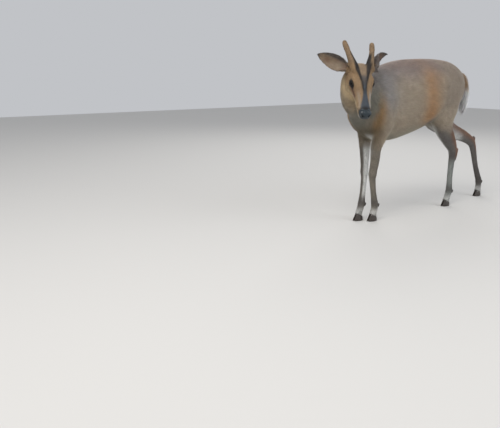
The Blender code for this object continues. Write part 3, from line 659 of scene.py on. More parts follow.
def trunk_streams():
    side, below = np.abs(normal[:, 0]), np.clip(-normal[:, 2], 0, 1)
    back = np.stack([0 * side, 1 + 0 * side, -0.42 * side + 0.1 * below], 1)
    breast = step(-points[:, 1], 0.235, 0.30) * step(0.44 - points[:, 2], 0.0, 0.08)
    lie = mixed(back, BREAST_WAY, breast) * on_part("torso")[:, None]
    throat = step(0.46 - points[:, 2], 0.0, 0.10)
    lie += mixed(np.array(NAPE_WAY), THROAT_WAY, throat) * on_part("neck")[:, None]
    for part, way in LIMB_WAYS.items():
        lie += np.outer(on_part(part), way)
    return lie


def face_streams():
    cheek = step(0.0 - at_head[:, 2], 0.0, 0.05)
    sideways = np.sign(at_head[:, 1]) * 0.25 * step(np.abs(at_head[:, 1]), 0.0, 0.02)
    face = np.stack([-np.ones(len(points)), sideways, 0.35 - 0.75 * cheek], 1)
    for s in (1, -1):
        face = mixed(face, np.array(PEDICLES[s][1]) / 0.1, pedicle_mask[s])
        face = mixed(face, ear_axes(s)[1], ear_mask[s])
    return head_mask[:, None] * unit(face) @ AXES


lie = unit(soften(unit(trunk_streams() + face_streams()), STREAM_ROUNDS))
print("mean lie on the torso:", lie[on_part("torso") > 0].mean(0).round(2))


# %% [markdown]
# ## How long and how upright the coat is
# A muntjac's coat is short and close: a little over a centimetre on the body, a few
# millimetres on the face and shanks, and long only on the underside of the tail. Lengths
# are in metres. The lift is the angle in radians at which a tuft leaves the skin. The fields
# are softened, so that a short coat grows longer by degrees.

# %% Length of the tufts
BODY_HAIR, PEDICLE_HAIR, EAR_HAIR = 0.0125, 0.0055, 0.0046
BROW_HAIR, MUZZLE_SHORTER, LIDS_SHORTER = 0.0062, 0.0034, 0.55
RUMP_LONGER, FOOT_LONGER, TAIL_LONGER = 0.002, 0.0045, 0.009
SHANKS = [leg + side + "_lower" for leg in ("foreleg_", "hindleg_") for side in ("left", "right")]
LENGTHS = (
    (("neck",), 0.0115),
    (("foreleg", "hindleg"), 0.0075),
    (SHANKS, 0.0052),
    (("tail",), 0.020),
)
length = np.full(len(points), BODY_HAIR)
length += RUMP_LONGER * on_part("torso") * step(points[:, 1], 0.10, 0.24)
for parts, metres in LENGTHS:
    length = np.where(on_part(*parts) > 0, metres, length)
face_length = BROW_HAIR - MUZZLE_SHORTER * step(at_head[:, 0], 0.02, 0.10)
face_length *= 1 - LIDS_SHORTER * (1 - step(eye_near, 1.4, 2.4))
length = np.where(head_mask > 0, face_length, length)
length = np.where(pedicle_mask[1] + pedicle_mask[-1] > 0.5, PEDICLE_HAIR, length)
length = np.where(ear_mask[1] + ear_mask[-1] > 0.5, EAR_HAIR, length)
length = soften(length, 10)
feet = on_part("foreleg", "hindleg") * step(0.042 - points[:, 2], 0.0, 0.012)
under_tail = on_part("tail") * step(0.3 - normal[:, 1], 0.0, 0.4)
under_tail *= step(0.475 - points[:, 2], 0.0, 0.03)
length += FOOT_LONGER * feet
length += TAIL_LONGER * under_tail
print("coat length:", length.min().round(4), "to", length.max().round(4))


# %% Width and lift of the tufts
THINNEST, WIDTH_BY_LENGTH = 0.00045, 0.026
HEAD_LIFT, TAIL_LIFT, BODY_LIFT, UNDER_TAIL_LIFT = 0.20, 0.28, 0.19, 0.30

width = THINNEST + WIDTH_BY_LENGTH * length
lift = np.where(on_part("tail") > 0, TAIL_LIFT, BODY_LIFT)
lift = np.where(head_mask > 0, HEAD_LIFT, lift)
lift = soften(lift, 6) + UNDER_TAIL_LIFT * under_tail
print("tuft width:", width.min().round(5), "to", width.max().round(5))


# %% Sink the skin by the depth of its coat
COAT_SHARE, LEAST_DEPTH, MOST_DEPTH = 0.75, 0.0004, 0.0026

depth = np.clip(length * np.sin(lift) * COAT_SHARE, LEAST_DEPTH, MOST_DEPTH)
put_places(skin, points - normal * (depth + SWELL * 0.5)[:, None])
print("deepest coat:", depth.max().round(4))
points = places(skin)
normal = normals(skin)
at_head = in_head(points)


# %% [markdown]
# ## The markings
# Every colour is mixed on the skin's vertices from a few named finishes, by place: the dusky
# back, the greyish flank, the warm band in front of the thigh, the black V on the brow. Skin
# and coat read the same colours, so a parting in the hair never shows another animal
# underneath. The values are linear red, green and blue.

# %% Named colours of the coat
BACK = (0.276, 0.226, 0.204)
FLANK = (0.392, 0.322, 0.242)
BAND = (0.440, 0.250, 0.122)
RUMP = (0.330, 0.270, 0.212)
BELLY = (0.335, 0.310, 0.245)
NECK_SIDE = (0.285, 0.230, 0.165)
THROAT = (0.222, 0.212, 0.175)
NAPE = (0.225, 0.200, 0.185)
SHOULDER = (0.275, 0.268, 0.270)
LOW_BAND = (0.430, 0.215, 0.085)
PATCH = (0.315, 0.192, 0.088)
WHITE = (0.780, 0.780, 0.750)
GREY = (0.350, 0.375, 0.355)
SHANK = (0.246, 0.218, 0.178)
DARK_SHANK = (0.110, 0.100, 0.094)
THIGH = (0.164, 0.150, 0.140)
RUST = (0.235, 0.125, 0.078)
# Painted shade for the fold in front of the left thigh.
GROIN_PAINTED_SHADE = (0.060, 0.050, 0.045)
SPINE = (0.262, 0.186, 0.150)
BREAST = (0.105, 0.084, 0.050)
PEDICLE = (0.262, 0.180, 0.108)
FACE = (0.318, 0.210, 0.116)
BROW_TAN = (0.300, 0.216, 0.142)
CHEEK = (0.560, 0.430, 0.262)
BLACK = (0.022, 0.020, 0.020)
# Dark grey-brown of the muzzle and brow, tinted blue as a painted reflection of the sky.
MUZZLE_AND_PAINTED_SHEEN = (0.068, 0.080, 0.097)
LIP = (0.560, 0.550, 0.520)
EAR_INSIDE = (0.350, 0.262, 0.180)
EAR_RIM = (0.130, 0.105, 0.092)
EAR_BACK = (0.150, 0.118, 0.100)
TAIL_WHITE = (0.900, 0.910, 0.900)
TAIL_TOP = (0.330, 0.222, 0.138)


# %% Mix the colours of trunk and neck
x, y, z = points.T
nx, ny, nz = normal.T


def body_colours():
    patchy = mottle(points, 0.05, 11)
    torso, neck = on_part("torso"), soften(on_part("neck"), 6)
    top = step(z + 0.012 * patchy, 0.47, 0.56)
    band = hump(y + 0.010 * patchy, -0.043, 0.040) * step(z, 0.30, 0.36)
    band *= 1 - 0.7 * step(z, 0.50, 0.57)
    low_band = hump(y, -0.036, 0.030) * step(z, 0.30, 0.33) * (1 - step(z, 0.37, 0.43))
    rear = step(y + 0.012 * patchy, 0.005, 0.06)
    under = step(-nz, 0.35, 0.85) * step(0.40 - z, 0.0, 0.05)
    strip = hump(y + 0.003 * patchy, -0.286, 0.015) * step(z, 0.28, 0.33)
    strip *= 1 - step(z, 0.43, 0.50)
    spine = step(nz, 0.55, 0.95) * hump(y, -0.10, 0.22) * step(z, 0.49, 0.53)
    breast = step(-y - 0.3 * x, 0.235, 0.285) * step(0.375 - z, 0.0, 0.05)
    return layered(
        np.tile(np.array(FLANK), (len(points), 1)),
        (BACK, 0.9 * top + 0.25 * step(nz, 0.3, 0.8) * torso),
        (SHOULDER, 0.8 * hump(y, -0.262, 0.060) * step(z, 0.36, 0.46)),
        # The band is weaker on the far, right side: painted shade, laid to offset how the lights fall
        # there.
        (BAND, band * np.where(x > 0, 0.95, 0.70)),
        (LOW_BAND, 0.55 * low_band * step(np.abs(x), 0.02, 0.05)),
        (RUMP, 0.85 * rear * step(z, 0.36, 0.44)),
        (BELLY, 0.8 * under * torso),
        (PATCH, 0.9 * strip * np.where(x > 0, 1.0, 0.6) * step(np.abs(x), 0.0, 0.03)),
        (SPINE, 0.45 * spine),
        (THROAT, neck),
        (NECK_SIDE, 0.75 * neck * step(-y, 0.33, 0.39)),
        (NAPE, neck * step(z + 0.02 * ny, 0.455, 0.50)),
        (BREAST, 0.85 * breast * on_part("torso", "neck")),
    )


# %% Mix the colours of legs and tail
def leg_colours(paint):
    fore, hind = on_part("foreleg"), on_part("hindleg")
    shank_left, shank_right = on_part("hindleg_left_lower"), on_part("hindleg_right_lower")
    inner = -nx * np.where(on_part("foreleg_left", "hindleg_left") > 0, 1.0, -1.0)
    below = step(0.31 - z, 0.0, 0.05)
    inside = step(inner + 0.2 * ny, 0.28, 0.58) * step(z, 0.07, 0.10)
    front_line = step(-0.59 * nx - 0.81 * ny, 0.86, 0.97) * step(z, 0.08, 0.11)
    front_line *= on_part("foreleg_left") * step(0.20 - z, 0.0, 0.03)
    armpit = hump(x, -0.004, 0.016) * hump(y, -0.268, 0.024)
    armpit *= step(z, 0.24, 0.26) * (1 - step(z, 0.315, 0.335))
    white_side = step(inner - 0.5 * ny, 0.15, 0.60) * step(z, 0.20, 0.27)
    white_side *= 1 - step(y, 0.315, 0.355)
    rust = step(ny + 0.3 * nz, -0.20, 0.30) * step(z, 0.19, 0.22) * step(0.36 - z, 0, 0.05)
    return layered(
        paint,
        (SHANK, fore * below),
        (DARK_SHANK, 0.6 * on_part("foreleg_right") * below * step(-ny, -0.2, 0.6)),
        (WHITE, 0.95 * fore * inside * below),
        (WHITE, 0.7 * front_line),
        (WHITE, 0.8 * armpit),
        (THIGH, soften(hind, 9) * step(0.42 - z, 0.0, 0.11)),
        (WHITE, 0.72 * hind * white_side),
        (RUST, 0.92 * hind * rust),
        (GREY, 0.85 * shank_left * step(0.21 - z, 0.0, 0.04)),
        (DARK_SHANK, 0.5 * shank_left * step(ny, 0.0, 0.6) * step(0.20 - z, 0.0, 0.04)),
        (DARK_SHANK, 0.85 * shank_right * step(0.19 - z, 0.0, 0.10)),
        (DARK_SHANK, 0.7 * (fore + hind) * hump(z, 0.072, 0.022)),
        # Painted shade: near-black in the fold where the left thigh meets the belly, on the near side
        # only.
        (GROIN_PAINTED_SHADE, 0.9 * hump(y, -0.010, 0.028) * hump(z, 0.350, 0.016) * step(x, 0.0, 0.02)),
        (WHITE, 0.75 * (fore + hind) * hump(z, 0.034, 0.013)),
    )


def tail_colours(paint):
    tail = on_part("tail")
    pale = step(0.86 - ny, 0.0, 0.22) * step(0.490 - z, 0.0, 0.040)
    return layered(paint, (TAIL_TOP, tail), (TAIL_WHITE, tail * pale))


# %% Mix the colours of the face
STRIPE_AT = (-0.100, -0.060, -0.030, -0.004, 0.022, 0.046)
STRIPE_OUT = (0.0300, 0.0265, 0.0205, 0.0142, 0.0085, 0.0040)
STRIPE_HALF = (0.0105, 0.0102, 0.0080, 0.0046, 0.0027, 0.0028)
STRIP_AT = (0.010, 0.030, 0.055, 0.075, 0.090)
STRIP_HALF = (0.0030, 0.0076, 0.0066, 0.0105, 0.0160)


def brow_stripe(at):
    """The black V: 1 on each line from the pedicle's inner side to the bridge."""
    u, v, w = at.T
    off = np.abs(np.abs(v) - np.interp(u, STRIPE_AT, STRIPE_OUT))
    half = np.interp(u, STRIPE_AT, STRIPE_HALF)
    line = 1 - step(off, half * 0.7, half * 1.3)
    return line * step(w, 0.0, 0.012) * (1 - step(u, 0.045, 0.06))


def face_colours(uneven):
    u, v, w = at_head.T
    side = np.abs(v)
    inside_v = 1 - step(side - np.interp(u, STRIPE_AT, STRIPE_OUT), -0.002, 0.001)
    above = step(w, 0.0, 0.02)
    half = np.interp(u, STRIP_AT, STRIP_HALF)
    bridge = step(u, 0.012, 0.035) * (1 - step(side, half * 0.8, half * 1.25))
    streak = step(u, 0.035, 0.055) * hump(w, 0.001 - 0.50 * (u - 0.045), 0.0055)
    streak *= step(side, 0.010, 0.016) * (1 - step(u, 0.088, 0.098))
    round_pad = step(u + 0.4 * (w + 0.014), 0.090, 0.101) * step(w, -0.046, -0.036)
    return layered(
        np.tile(np.array(FACE), (len(points), 1)),
        (CHEEK, 0.9 * step(-w - 0.006 * uneven, 0.012, 0.045)),
        (NECK_SIDE, 0.7 * step(-w - 0.004 * uneven, 0.058, 0.080)),
        (BROW_TAN, inside_v * step(-u, 0.000, 0.018) * above),
        # The muzzle's colour carries a blue painted reflection of the sky.
        (MUZZLE_AND_PAINTED_SHEEN, 0.75 * inside_v * step(u, -0.016, 0.002) * above),
        (MUZZLE_AND_PAINTED_SHEEN, bridge * step(w + 0.45 * u, 0.004, 0.014)),
        (MUZZLE_AND_PAINTED_SHEEN, 0.8 * step(u, 0.085, 0.11) * step(w, -0.040, -0.030)),
        (LIP, np.where(v > 0, 0.65, 0.25) * streak),
        (LIP, 0.9 * step(u, 0.085, 0.105) * step(-w, 0.040, 0.047)),
        (LIP, 0.6 * step(u, 0.04, 0.08) * step(-w, 0.044, 0.052)),
        (BLACK, 0.96 * round_pad),
        (BLACK, 0.96 * brow_stripe(at_head)),
        (BLACK, 0.95 * (1 - step(mouth_off(at_head), 0.0006, 0.0015))),
    )


def eye_colours(face):
    for s in (1, -1):
        ends = (0.0150, 0.0365 * s, -0.0070), (0.0420, 0.0300 * s, -0.0195)
        off = near_line(at_head, *ends)[0]
        face = layered(face, (RUST, 0.8 * hump(off, 0, 0.0095)), (BLACK, 0.95 * hump(off, 0, 0.0042)))
    shadow, rim = 1 - step(eye_near, 1.6, 2.3), 1 - step(eye_near, 1.32, 1.62)
    return layered(face, (BLACK, 0.45 * shadow), (BLACK, 0.92 * rim))


# %% Mix the colours of pedicles and ears
normal_in_head = normal @ AXES.T
# How much of each ear's pale inside colour is laid. The left ear keeps mostly the back's dark colour
# over its inside, as painted shade.
EAR_INSIDE_UNDER_PAINTED_SHADE = {1: 0.12, -1: 1.0}


def pedicle_colours(face, sign):
    share = along_pedicle(at_head, sign)[0]
    dark = step(-normal_in_head[:, 1] * sign, -0.05, 0.35) * (1 - step(share, 0.42, 0.60))
    return layered(
        face,
        (PEDICLE, pedicle_mask[sign] * step(share, 0.1, 0.25)),
        (BLACK, 0.96 * pedicle_mask[sign] * dark * step(share, 0.02, 0.12)),
    )


def ear_colours(face, sign, uneven):
    share, above = along_ear(at_head, sign)[:2]
    inside = step(normal_in_head @ ear_axes(sign)[2], -0.10, 0.25)
    blots = step(uneven + 0.5 * hump(share, 0.65, 0.25) - 20 * above, 0.1, 0.9)
    blots *= 1 - step(-above, 0.012, 0.020)
    ear = layered(
        np.tile(np.array(EAR_BACK), (len(points), 1)),
        # Painted shade: the left ear's inside gets little of its pale colour.
        (EAR_INSIDE, inside * EAR_INSIDE_UNDER_PAINTED_SHADE[sign]),
        (RUST, 0.55 * inside * blots),
        (EAR_RIM, 0.9 * step(above, 0.008, 0.016) + 0.7 * step(share, 0.86, 0.97)),
    )
    return mixed(face, ear, ear_mask[sign])


def head_colours(paint):
    uneven = mottle(points, 0.018, 23)
    face = eye_colours(face_colours(uneven))
    for s in (1, -1):
        face = ear_colours(pedicle_colours(face, s), s, uneven)
    return mixed(paint, face, head_mask)


# %% Lay all colours on the vertices
DARKEST, PALEST = 0.004, 0.9

colour = head_colours(tail_colours(leg_colours(body_colours())))
colour = np.clip(soften(colour, 2), DARKEST, PALEST)
colour *= (1 + 0.07 * mottle(points, 0.012, 5) + 0.05 * mottle(points, 0.004, 6))[:, None]
print("mean coat colour:", colour.mean(0).round(3))


# %% [markdown]
# ## The skin as a finished piece
# The skin carries the markings as a colour attribute, and an unwrap of its own shape, which
# the coat uses too: every tuft has a small patch at its root's place on this unwrap. The
# material adds the finest hair, which is too small to be mesh, as a streaky bump, and the
# nose has a second material, because it is bare, wet and pebbled.
# The nose's blue tint is a painted reflection of the sky.

# %% A material from its shader's values
def material_of(name, **values):
    made = bpy.data.materials.new(name)
    made.use_nodes = True
    shader = made.node_tree.nodes["Principled BSDF"]
    for socket, value in values.items():
        shader.inputs[socket.replace("_", " ")].default_value = value
    print("material", name)
    return made


def node(material, kind, values=(), **settings):
    """Adds a shader node with its settings by name and its input values by socket."""
    made = material.node_tree.nodes.new("ShaderNode" + kind)
    for name, value in settings.items():
        setattr(made, name, value)
    for socket, value in dict(values).items():
        made.inputs[socket].default_value = value
    return made


def wire(material, start, end):
    material.node_tree.links.new(start, end)


def shader_of(material):
    return material.node_tree.nodes["Principled BSDF"]


# %% Patterns, bumps and tones
NOISE_DETAIL = 3.0


def stretched_noise(material, stretch, scale):
    """Noise on Object coordinates, drawn out by a Mapping node."""
    where = node(material, "TexCoord")
    mapping = node(material, "Mapping", {"Scale": stretch})
    noise = node(material, "TexNoise", {"Scale": scale, "Detail": NOISE_DETAIL})
    wire(material, where.outputs["Object"], mapping.inputs["Vector"])
    wire(material, mapping.outputs["Vector"], noise.inputs["Vector"])
    return noise.outputs["Fac"]


def bump_from(material, height, distance, strength=1.0):
    bump = node(material, "Bump", {"Strength": strength, "Distance": distance})
    wire(material, height, bump.inputs["Height"])
    wire(material, bump.outputs["Normal"], shader_of(material).inputs["Normal"])


def two_tone(material, factor, low, high):
    """Runs the colour from one tone to another with a pattern."""
    tone = node(material, "ValToRGB")
    tone.color_ramp.elements[0].color = (*low, 1)
    tone.color_ramp.elements[1].color = (*high, 1)
    wire(material, factor, tone.inputs["Fac"])
    wire(material, tone.outputs["Color"], shader_of(material).inputs["Base Color"])


def shaded_by(material, colour, factor, low, high):
    """Multiplies a colour by a grey that runs from low to high with the factor."""
    grey = node(material, "MapRange", {"To Min": low, "To Max": high})
    wire(material, factor, grey.inputs["Value"])
    mix = node(material, "Mix", {"Factor": 1.0}, data_type="RGBA", blend_type="MULTIPLY")
    wire(material, colour, mix.inputs["A"])
    wire(material, grey.outputs["Result"], mix.inputs["B"])
    wire(material, mix.outputs["Result"], shader_of(material).inputs["Base Color"])


# %% The under-coat's material
under_coat = material_of("under_coat", Roughness=0.72, Specular_IOR_Level=0.3)
fur = node(under_coat, "Attribute", attribute_name="fur")
streaks = stretched_noise(under_coat, (1.0, 0.35, 0.6), 420.0)
shaded_by(under_coat, fur.outputs["Color"], streaks, 0.55, 1.05)
bump_from(under_coat, stretched_noise(under_coat, (1.0, 0.25, 0.5), 900.0), 0.0004)


# %% The wet nose's material, with a painted blue sheen
nose_with_painted_sheen = material_of("nose_with_painted_sheen", Roughness=0.34, Specular_IOR_Level=0.45)
pebbles = node(nose_with_painted_sheen, "TexVoronoi", {"Scale": 620.0}, feature="SMOOTH_F1")
where = node(nose_with_painted_sheen, "TexCoord")
wire(nose_with_painted_sheen, where.outputs["Object"], pebbles.inputs["Vector"])
bump_from(nose_with_painted_sheen, pebbles.outputs["Distance"], -0.0003, 0.6)
# The pebbles' tops are painted a lighter blue, a painted reflection of the sky; their edges are the
# leather's black.
two_tone(nose_with_painted_sheen, pebbles.outputs["Distance"], (0.022, 0.036, 0.046), (0.008, 0.010, 0.012))


# %% Give the skin its colours, its unwrap and its materials
def paint_attribute(mesh, name, colours):
    attribute = mesh.color_attributes.new(name=name, type="FLOAT_COLOR", domain="POINT")
    rows = np.ones((len(colours), 4), np.float32)
    rows[:, :3] = colours
    attribute.data.foreach_set("color", rows.ravel())


SEAM_ANGLE, ISLAND_GAP = 1.15, 0.002
UNDER_COAT_SHADE = 0.85


def unwrap(piece):
    """One smart projection, kept as the map named OFBake."""
    for layer in list(piece.data.uv_layers):
        piece.data.uv_layers.remove(layer)
    piece.data.uv_layers.new(name="OFBake")
    choose(piece)
    bpy.ops.object.mode_set(mode="EDIT")
    bpy.ops.mesh.select_mode(type="FACE")
    bpy.ops.mesh.select_all(action="SELECT")
    bpy.ops.uv.smart_project(angle_limit=SEAM_ANGLE, island_margin=ISLAND_GAP)
    bpy.ops.object.mode_set(mode="OBJECT")


def triangles_of(piece):
    tri = np.empty(len(piece.data.polygons) * 3, np.int32)
    piece.data.polygons.foreach_get("vertices", tri)
    return tri.reshape(-1, 3)


apply_modifier(skin, "TRIANGULATE")
paint_attribute(skin.data, "fur", colour * UNDER_COAT_SHADE)
skin.data.materials.clear()
skin.data.materials.append(under_coat)
skin.data.materials.append(nose_with_painted_sheen)
on_nose = nose_mask[triangles_of(skin)].mean(1) > 0.5
skin.data.polygons.foreach_set("material_index", on_nose.astype(np.int32))
choose(skin)
bpy.ops.object.shade_smooth()
unwrap(skin)
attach(skin, "root")
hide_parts(*FLESH)
print("skin triangles:", len(skin.data.polygons))


# %% [markdown]
# ## The coat
# Loose hair systems don't survive an export, so the coat is solid: tens of thousands of
# slim closed tufts, each rooted in the skin, leaning the way the coat lies and drawn to a
# point. The short coat is made of one straight spike a tuft, and the long hair of the tail
# has a bend in it. They are written as arrays, all at once, since no hand would place them
# one by one. The shading normals of a tuft lean half way to those of the skin under it, so
# that the coat is lit as one soft surface and not as so many needles.

# %% Where tufts may grow
hairy = 1.0 - soften(nose_mask, 1)
hairy *= step(eye_near, 1.22, 1.40)
hairy *= step(mouth_off(at_head), 0.0005, 0.0012)
hairy *= eye_reach(at_head) > EYE_RADIUS - 0.0004
open_ear = {}
for s in (1, -1):
    cap = normal_in_head @ np.array(PEDICLES[s][1]) / np.linalg.norm(PEDICLES[s][1])
    hairy *= 1 - step(cap, 0.45, 0.7) * (along_pedicle(at_head, s)[0] > 0.9) * pedicle_mask[s]
    open_ear[s] = ear_mask[s] * step(normal_in_head @ ear_axes(s)[2], 0.0, 0.3)
hairy *= 1.0 - 0.85 * (open_ear[1] + open_ear[-1])
foot_end = on_part("foreleg", "hindleg") * (points[:, 2] < 0.026)
hairy *= 1.0 - foot_end * step(-normal[:, 2], 0.3, 0.6)
print("hairy share of the vertices:", hairy.mean().round(3))


# %% The ground that a coat grows from
def ground_of(piece, lie, length, width, lift, colour):
    """All that the tufts need to know of the surface under them."""
    tri = triangles_of(piece)
    tri_uv = np.empty(len(tri) * 6, np.float32)
    piece.data.uv_layers["OFBake"].data.foreach_get("uv", tri_uv)
    return {
        "points": places(piece),
        "normal": normals(piece),
        "tri": tri,
        "uv": tri_uv.reshape(-1, 3, 2),
        "lie": lie,
        "length": length,
        "width": width,
        "lift": lift,
        "colour": colour,
    }


def at_roots(field, corners, weights):
    """A vertex field read at places given by a triangle's corners and their weights."""
    corner = field[corners]
    if corner.ndim == 2:
        return (corner * weights).sum(1)
    return (corner * weights[:, :, None]).sum(1)


# %% Scatter roots over a ground
LENGTH_SPREAD, WIDTH_SPREAD, RISE_SPREAD = (0.75, 1.2), (0.8, 1.25), (0.5, 1.4)
TONE_SPREAD, TINT_SPREAD = 0.09, 0.035
LOCK_SWAY, LOCK_SIZE = 0.20, 0.03
TUFT_FILL = 0.6


def roots_on(ground, where, overlap, seed, longer=1.0, spread=0.13):
    """Picks evenly spread roots. Overlap is how many tufts lie over any one point."""
    dice = np.random.default_rng(seed)
    tri = ground["tri"]
    a, b, c = (ground["points"][tri[:, k]] for k in range(3))
    area = 0.5 * np.linalg.norm(np.cross(b - a, c - a), axis=1)
    footprint = ground["length"] * longer * ground["width"] * TUFT_FILL
    share = np.cumsum(area * (where * overlap / footprint)[tri].mean(1))
    count = int(share[-1])
    spots = (np.arange(count) + dice.random(count)) * share[-1] / count
    face = np.minimum(np.searchsorted(share, spots), len(tri) - 1)
    r, q = np.sqrt(dice.random(count)), dice.random(count)
    weights = np.stack([1 - r, r * (1 - q), r * q], 1)
    corners = tri[face]
    fields = ("points", "normal", "lie", "length", "width", "lift", "colour")
    at = {field: at_roots(ground[field], corners, weights) for field in fields}
    root = at["points"]
    tone = at["colour"] * np.exp(TONE_SPREAD * dice.normal(size=count))[:, None]
    return {
        "root": root,
        "up": unit(at["normal"]),
        "way": at["lie"],
        "long": at["length"] * longer * dice.uniform(*LENGTH_SPREAD, count),
        "wide": at["width"] * dice.uniform(*WIDTH_SPREAD, count),
        "rise": at["lift"] * dice.uniform(*RISE_SPREAD, count),
        "sway": LOCK_SWAY * mottle(root, LOCK_SIZE, seed + 1) + spread * dice.normal(size=count),
        "tone": tone * (1 + TINT_SPREAD * dice.normal(size=(count, 3))),
        "uv": (ground["uv"][face] * weights[:, :, None]).sum(1),
    }


# %% Grow tufts from roots as one closed mesh
PATCH_SIZE = 0.003
PAINT_RANGE = (0.002, 0.95)
SOFT = 0.55
CREST, BENT_KNEE, BENT_TIP = 0.42, 0.62, 0.80
SPIKE = {
    "faces": np.array([(0, 3, 2), (2, 3, 1), (1, 3, 0), (0, 2, 1)]),
    "patch": np.array([(-0.5, -0.5), (0.5, -0.5), (0.0, -0.3), (0.0, 0.5)]),
    "shades": (0.86, 0.86, 0.90, 1.08),
}
BENT_WALLS = [(0, 5, 2), (0, 3, 5), (2, 4, 1), (2, 5, 4), (1, 3, 0), (1, 4, 3)]
BENT_ENDS = [(3, 6, 5), (5, 6, 4), (4, 6, 3), (0, 2, 1)]
BENT_FOOT = [(-0.5, -0.5), (0.5, -0.5), (0.0, -0.4)]
BENT = {
    "faces": np.array(BENT_WALLS + BENT_ENDS),
    "patch": np.array(BENT_FOOT + [(-0.4, 0.0), (0.4, 0.0), (0.0, 0.1), (0.0, 0.5)]),
    "shades": (0.80, 0.80, 0.80, 0.97, 0.97, 0.97, 1.08),
}


def grow(name, roots, material, bent=False):
    """Each tuft is a slim closed spike, or a bent one, on its own root."""
    root, up, long, wide, rise = (roots[k] for k in ("root", "up", "long", "wide", "rise"))
    side = unit(np.cross(up, roots["way"]))
    way = unit(np.cross(side, up))
    turn, across = np.cos(roots["sway"])[:, None], np.sin(roots["sway"])[:, None]
    way, side = way * turn + side * across, side * turn - way * across
    half = side * (wide / 2)[:, None]
    crest = up * (wide * CREST)[:, None]
    foot = root - up * (wide * 0.5)[:, None]
    reach = (long * np.cos(rise))[:, None] * way
    tip = root + reach + up * ((BENT_TIP if bent else 1.0) * long * np.sin(rise))[:, None]
    left, right = up * SOFT - side * (1 - SOFT), up * SOFT + side * (1 - SOFT)
    if bent:
        middle = root + 0.5 * reach + up * (BENT_KNEE * long * np.sin(rise))[:, None]
        knee = [middle - half * 0.8, middle + half * 0.8, middle + crest]
    else:
        knee = []
    rows = [foot - half, foot + half, foot + crest, *knee, tip]
    lit = [left, right, up] * (2 if bent else 1) + [up]
    form = BENT if bent else SPIKE
    each, count = len(rows), len(root)
    spots = np.stack(rows, 1).reshape(-1, 3)
    face_rows = (form["faces"][None] + each * np.arange(count)[:, None, None]).reshape(-1, 3)
    paint = (roots["tone"][:, None, :] * np.array(form["shades"])[None, :, None]).reshape(-1, 3)
    uv = (roots["uv"][:, None, :] + form["patch"][None] * PATCH_SIZE).reshape(-1, 2)
    made = closed_mesh(name, spots, face_rows, np.clip(paint, *PAINT_RANGE), uv)
    made.data.normals_split_custom_set_from_vertices(unit(np.stack(lit, 1).reshape(-1, 3)))
    made.data.materials.append(material)
    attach(made, "root")
    print(name, "tufts:", count, "triangles:", len(face_rows))


# %% Write one mesh from arrays
def closed_mesh(name, spots, faces, paint, uv):
    mesh = bpy.data.meshes.new(name)
    mesh.vertices.add(len(spots))
    mesh.vertices.foreach_set("co", spots.astype(np.float32).ravel())
    mesh.loops.add(faces.size)
    mesh.loops.foreach_set("vertex_index", faces.astype(np.int32).ravel())
    mesh.polygons.add(len(faces))
    mesh.polygons.foreach_set("loop_start", np.arange(0, faces.size, 3, dtype=np.int32))
    mesh.polygons.foreach_set("loop_total", np.full(len(faces), 3, np.int32))
    mesh.update(calc_edges=True)
    mesh.polygons.foreach_set("use_smooth", np.ones(len(faces), bool))
    paint_attribute(mesh, "fur", paint)
    layer = mesh.uv_layers.new(name="OFBake")
    layer.data.foreach_set("uv", uv[faces.ravel()].astype(np.float32).ravel())
    made = bpy.data.objects.new(name, mesh)
    bpy.context.scene.collection.objects.link(made)
    return made


# %% The coat's material
coat = material_of(
    "coat", Roughness=0.62, Specular_IOR_Level=0.25, Sheen_Weight=0.10, Sheen_Roughness=0.5
)
fur = node(coat, "Attribute", attribute_name="fur")
streaks = stretched_noise(coat, (1.0, 0.4, 0.7), 300.0)
shaded_by(coat, fur.outputs["Color"], streaks, 0.90, 1.10)
bump_from(coat, stretched_noise(coat, (1.0, 0.2, 0.5), 1600.0), 0.0001)


# %% Grow the coat, part by part
BODY_OVERLAP, LEG_OVERLAP, FACE_OVERLAP, EAR_OVERLAP = 2.4, 1.7, 1.6, 1.5
TRUNK_CUTS = (-1.0, -0.20, -0.105, -0.01, 0.085, 1.0)

hide = ground_of(skin, lie, length, width, lift, colour)
for k in range(len(TRUNK_CUTS) - 1):
    slice_here = on_part("torso") * hairy * (y >= TRUNK_CUTS[k]) * (y < TRUNK_CUTS[k + 1])
    grow("coat_trunk_%d" % (k + 1), roots_on(hide, slice_here, BODY_OVERLAP, 100 + k), coat)
grow("coat_neck", roots_on(hide, on_part("neck") * hairy, BODY_OVERLAP, 120), coat)
tail_roots = roots_on(hide, on_part("tail") * hairy, BODY_OVERLAP, 121, spread=0.18)
grow("coat_tail", tail_roots, coat, bent=True)
grow("coat_face", roots_on(hide, on_part("head") * hairy, FACE_OVERLAP, 130), coat)
for name, part, seed in (
    ("coat_forelegs", "foreleg", 140),
    ("coat_hindleg_left", "hindleg_left", 141),
    ("coat_hindleg_right", "hindleg_right", 142),
):
    grow(name, roots_on(hide, on_part(part) * hairy, LEG_OVERLAP, seed), coat)


# %% Short pile on the ears, and long pale hair inside them
on_ears = ear_mask[1] + ear_mask[-1]
grow("coat_ears", roots_on(hide, on_ears * hairy, EAR_OVERLAP, 131), coat)
# The left ear grows fewer pale hairs inside, so that it reads darker: painted shade.
FRINGE_SHARE_WITH_PAINTED_SHADE = {1: 0.4, -1: 1.0}
inner_hair = np.zeros(len(points))
for s in (1, -1):
    share, above = along_ear(at_head, s)[:2]
    edge = step(np.abs(above), 0.006, 0.016) * (1 - step(share, 0.75, 0.95))
    low = 1 - step(share, 0.22, 0.45)
    inner_hair += open_ear[s] * FRINGE_SHARE_WITH_PAINTED_SHADE[s] * np.clip(edge + low, 0, 1)
pale_hair = hide["colour"] * 0.85 + np.array(LIP) * 0.15
inside_ears = dict(hide, colour=pale_hair, lift=hide["lift"] * 1.6)
fringe = roots_on(inside_ears, inner_hair, 0.8, 132, longer=2.1, spread=0.3)
grow("coat_ear_fringe", fringe, coat)


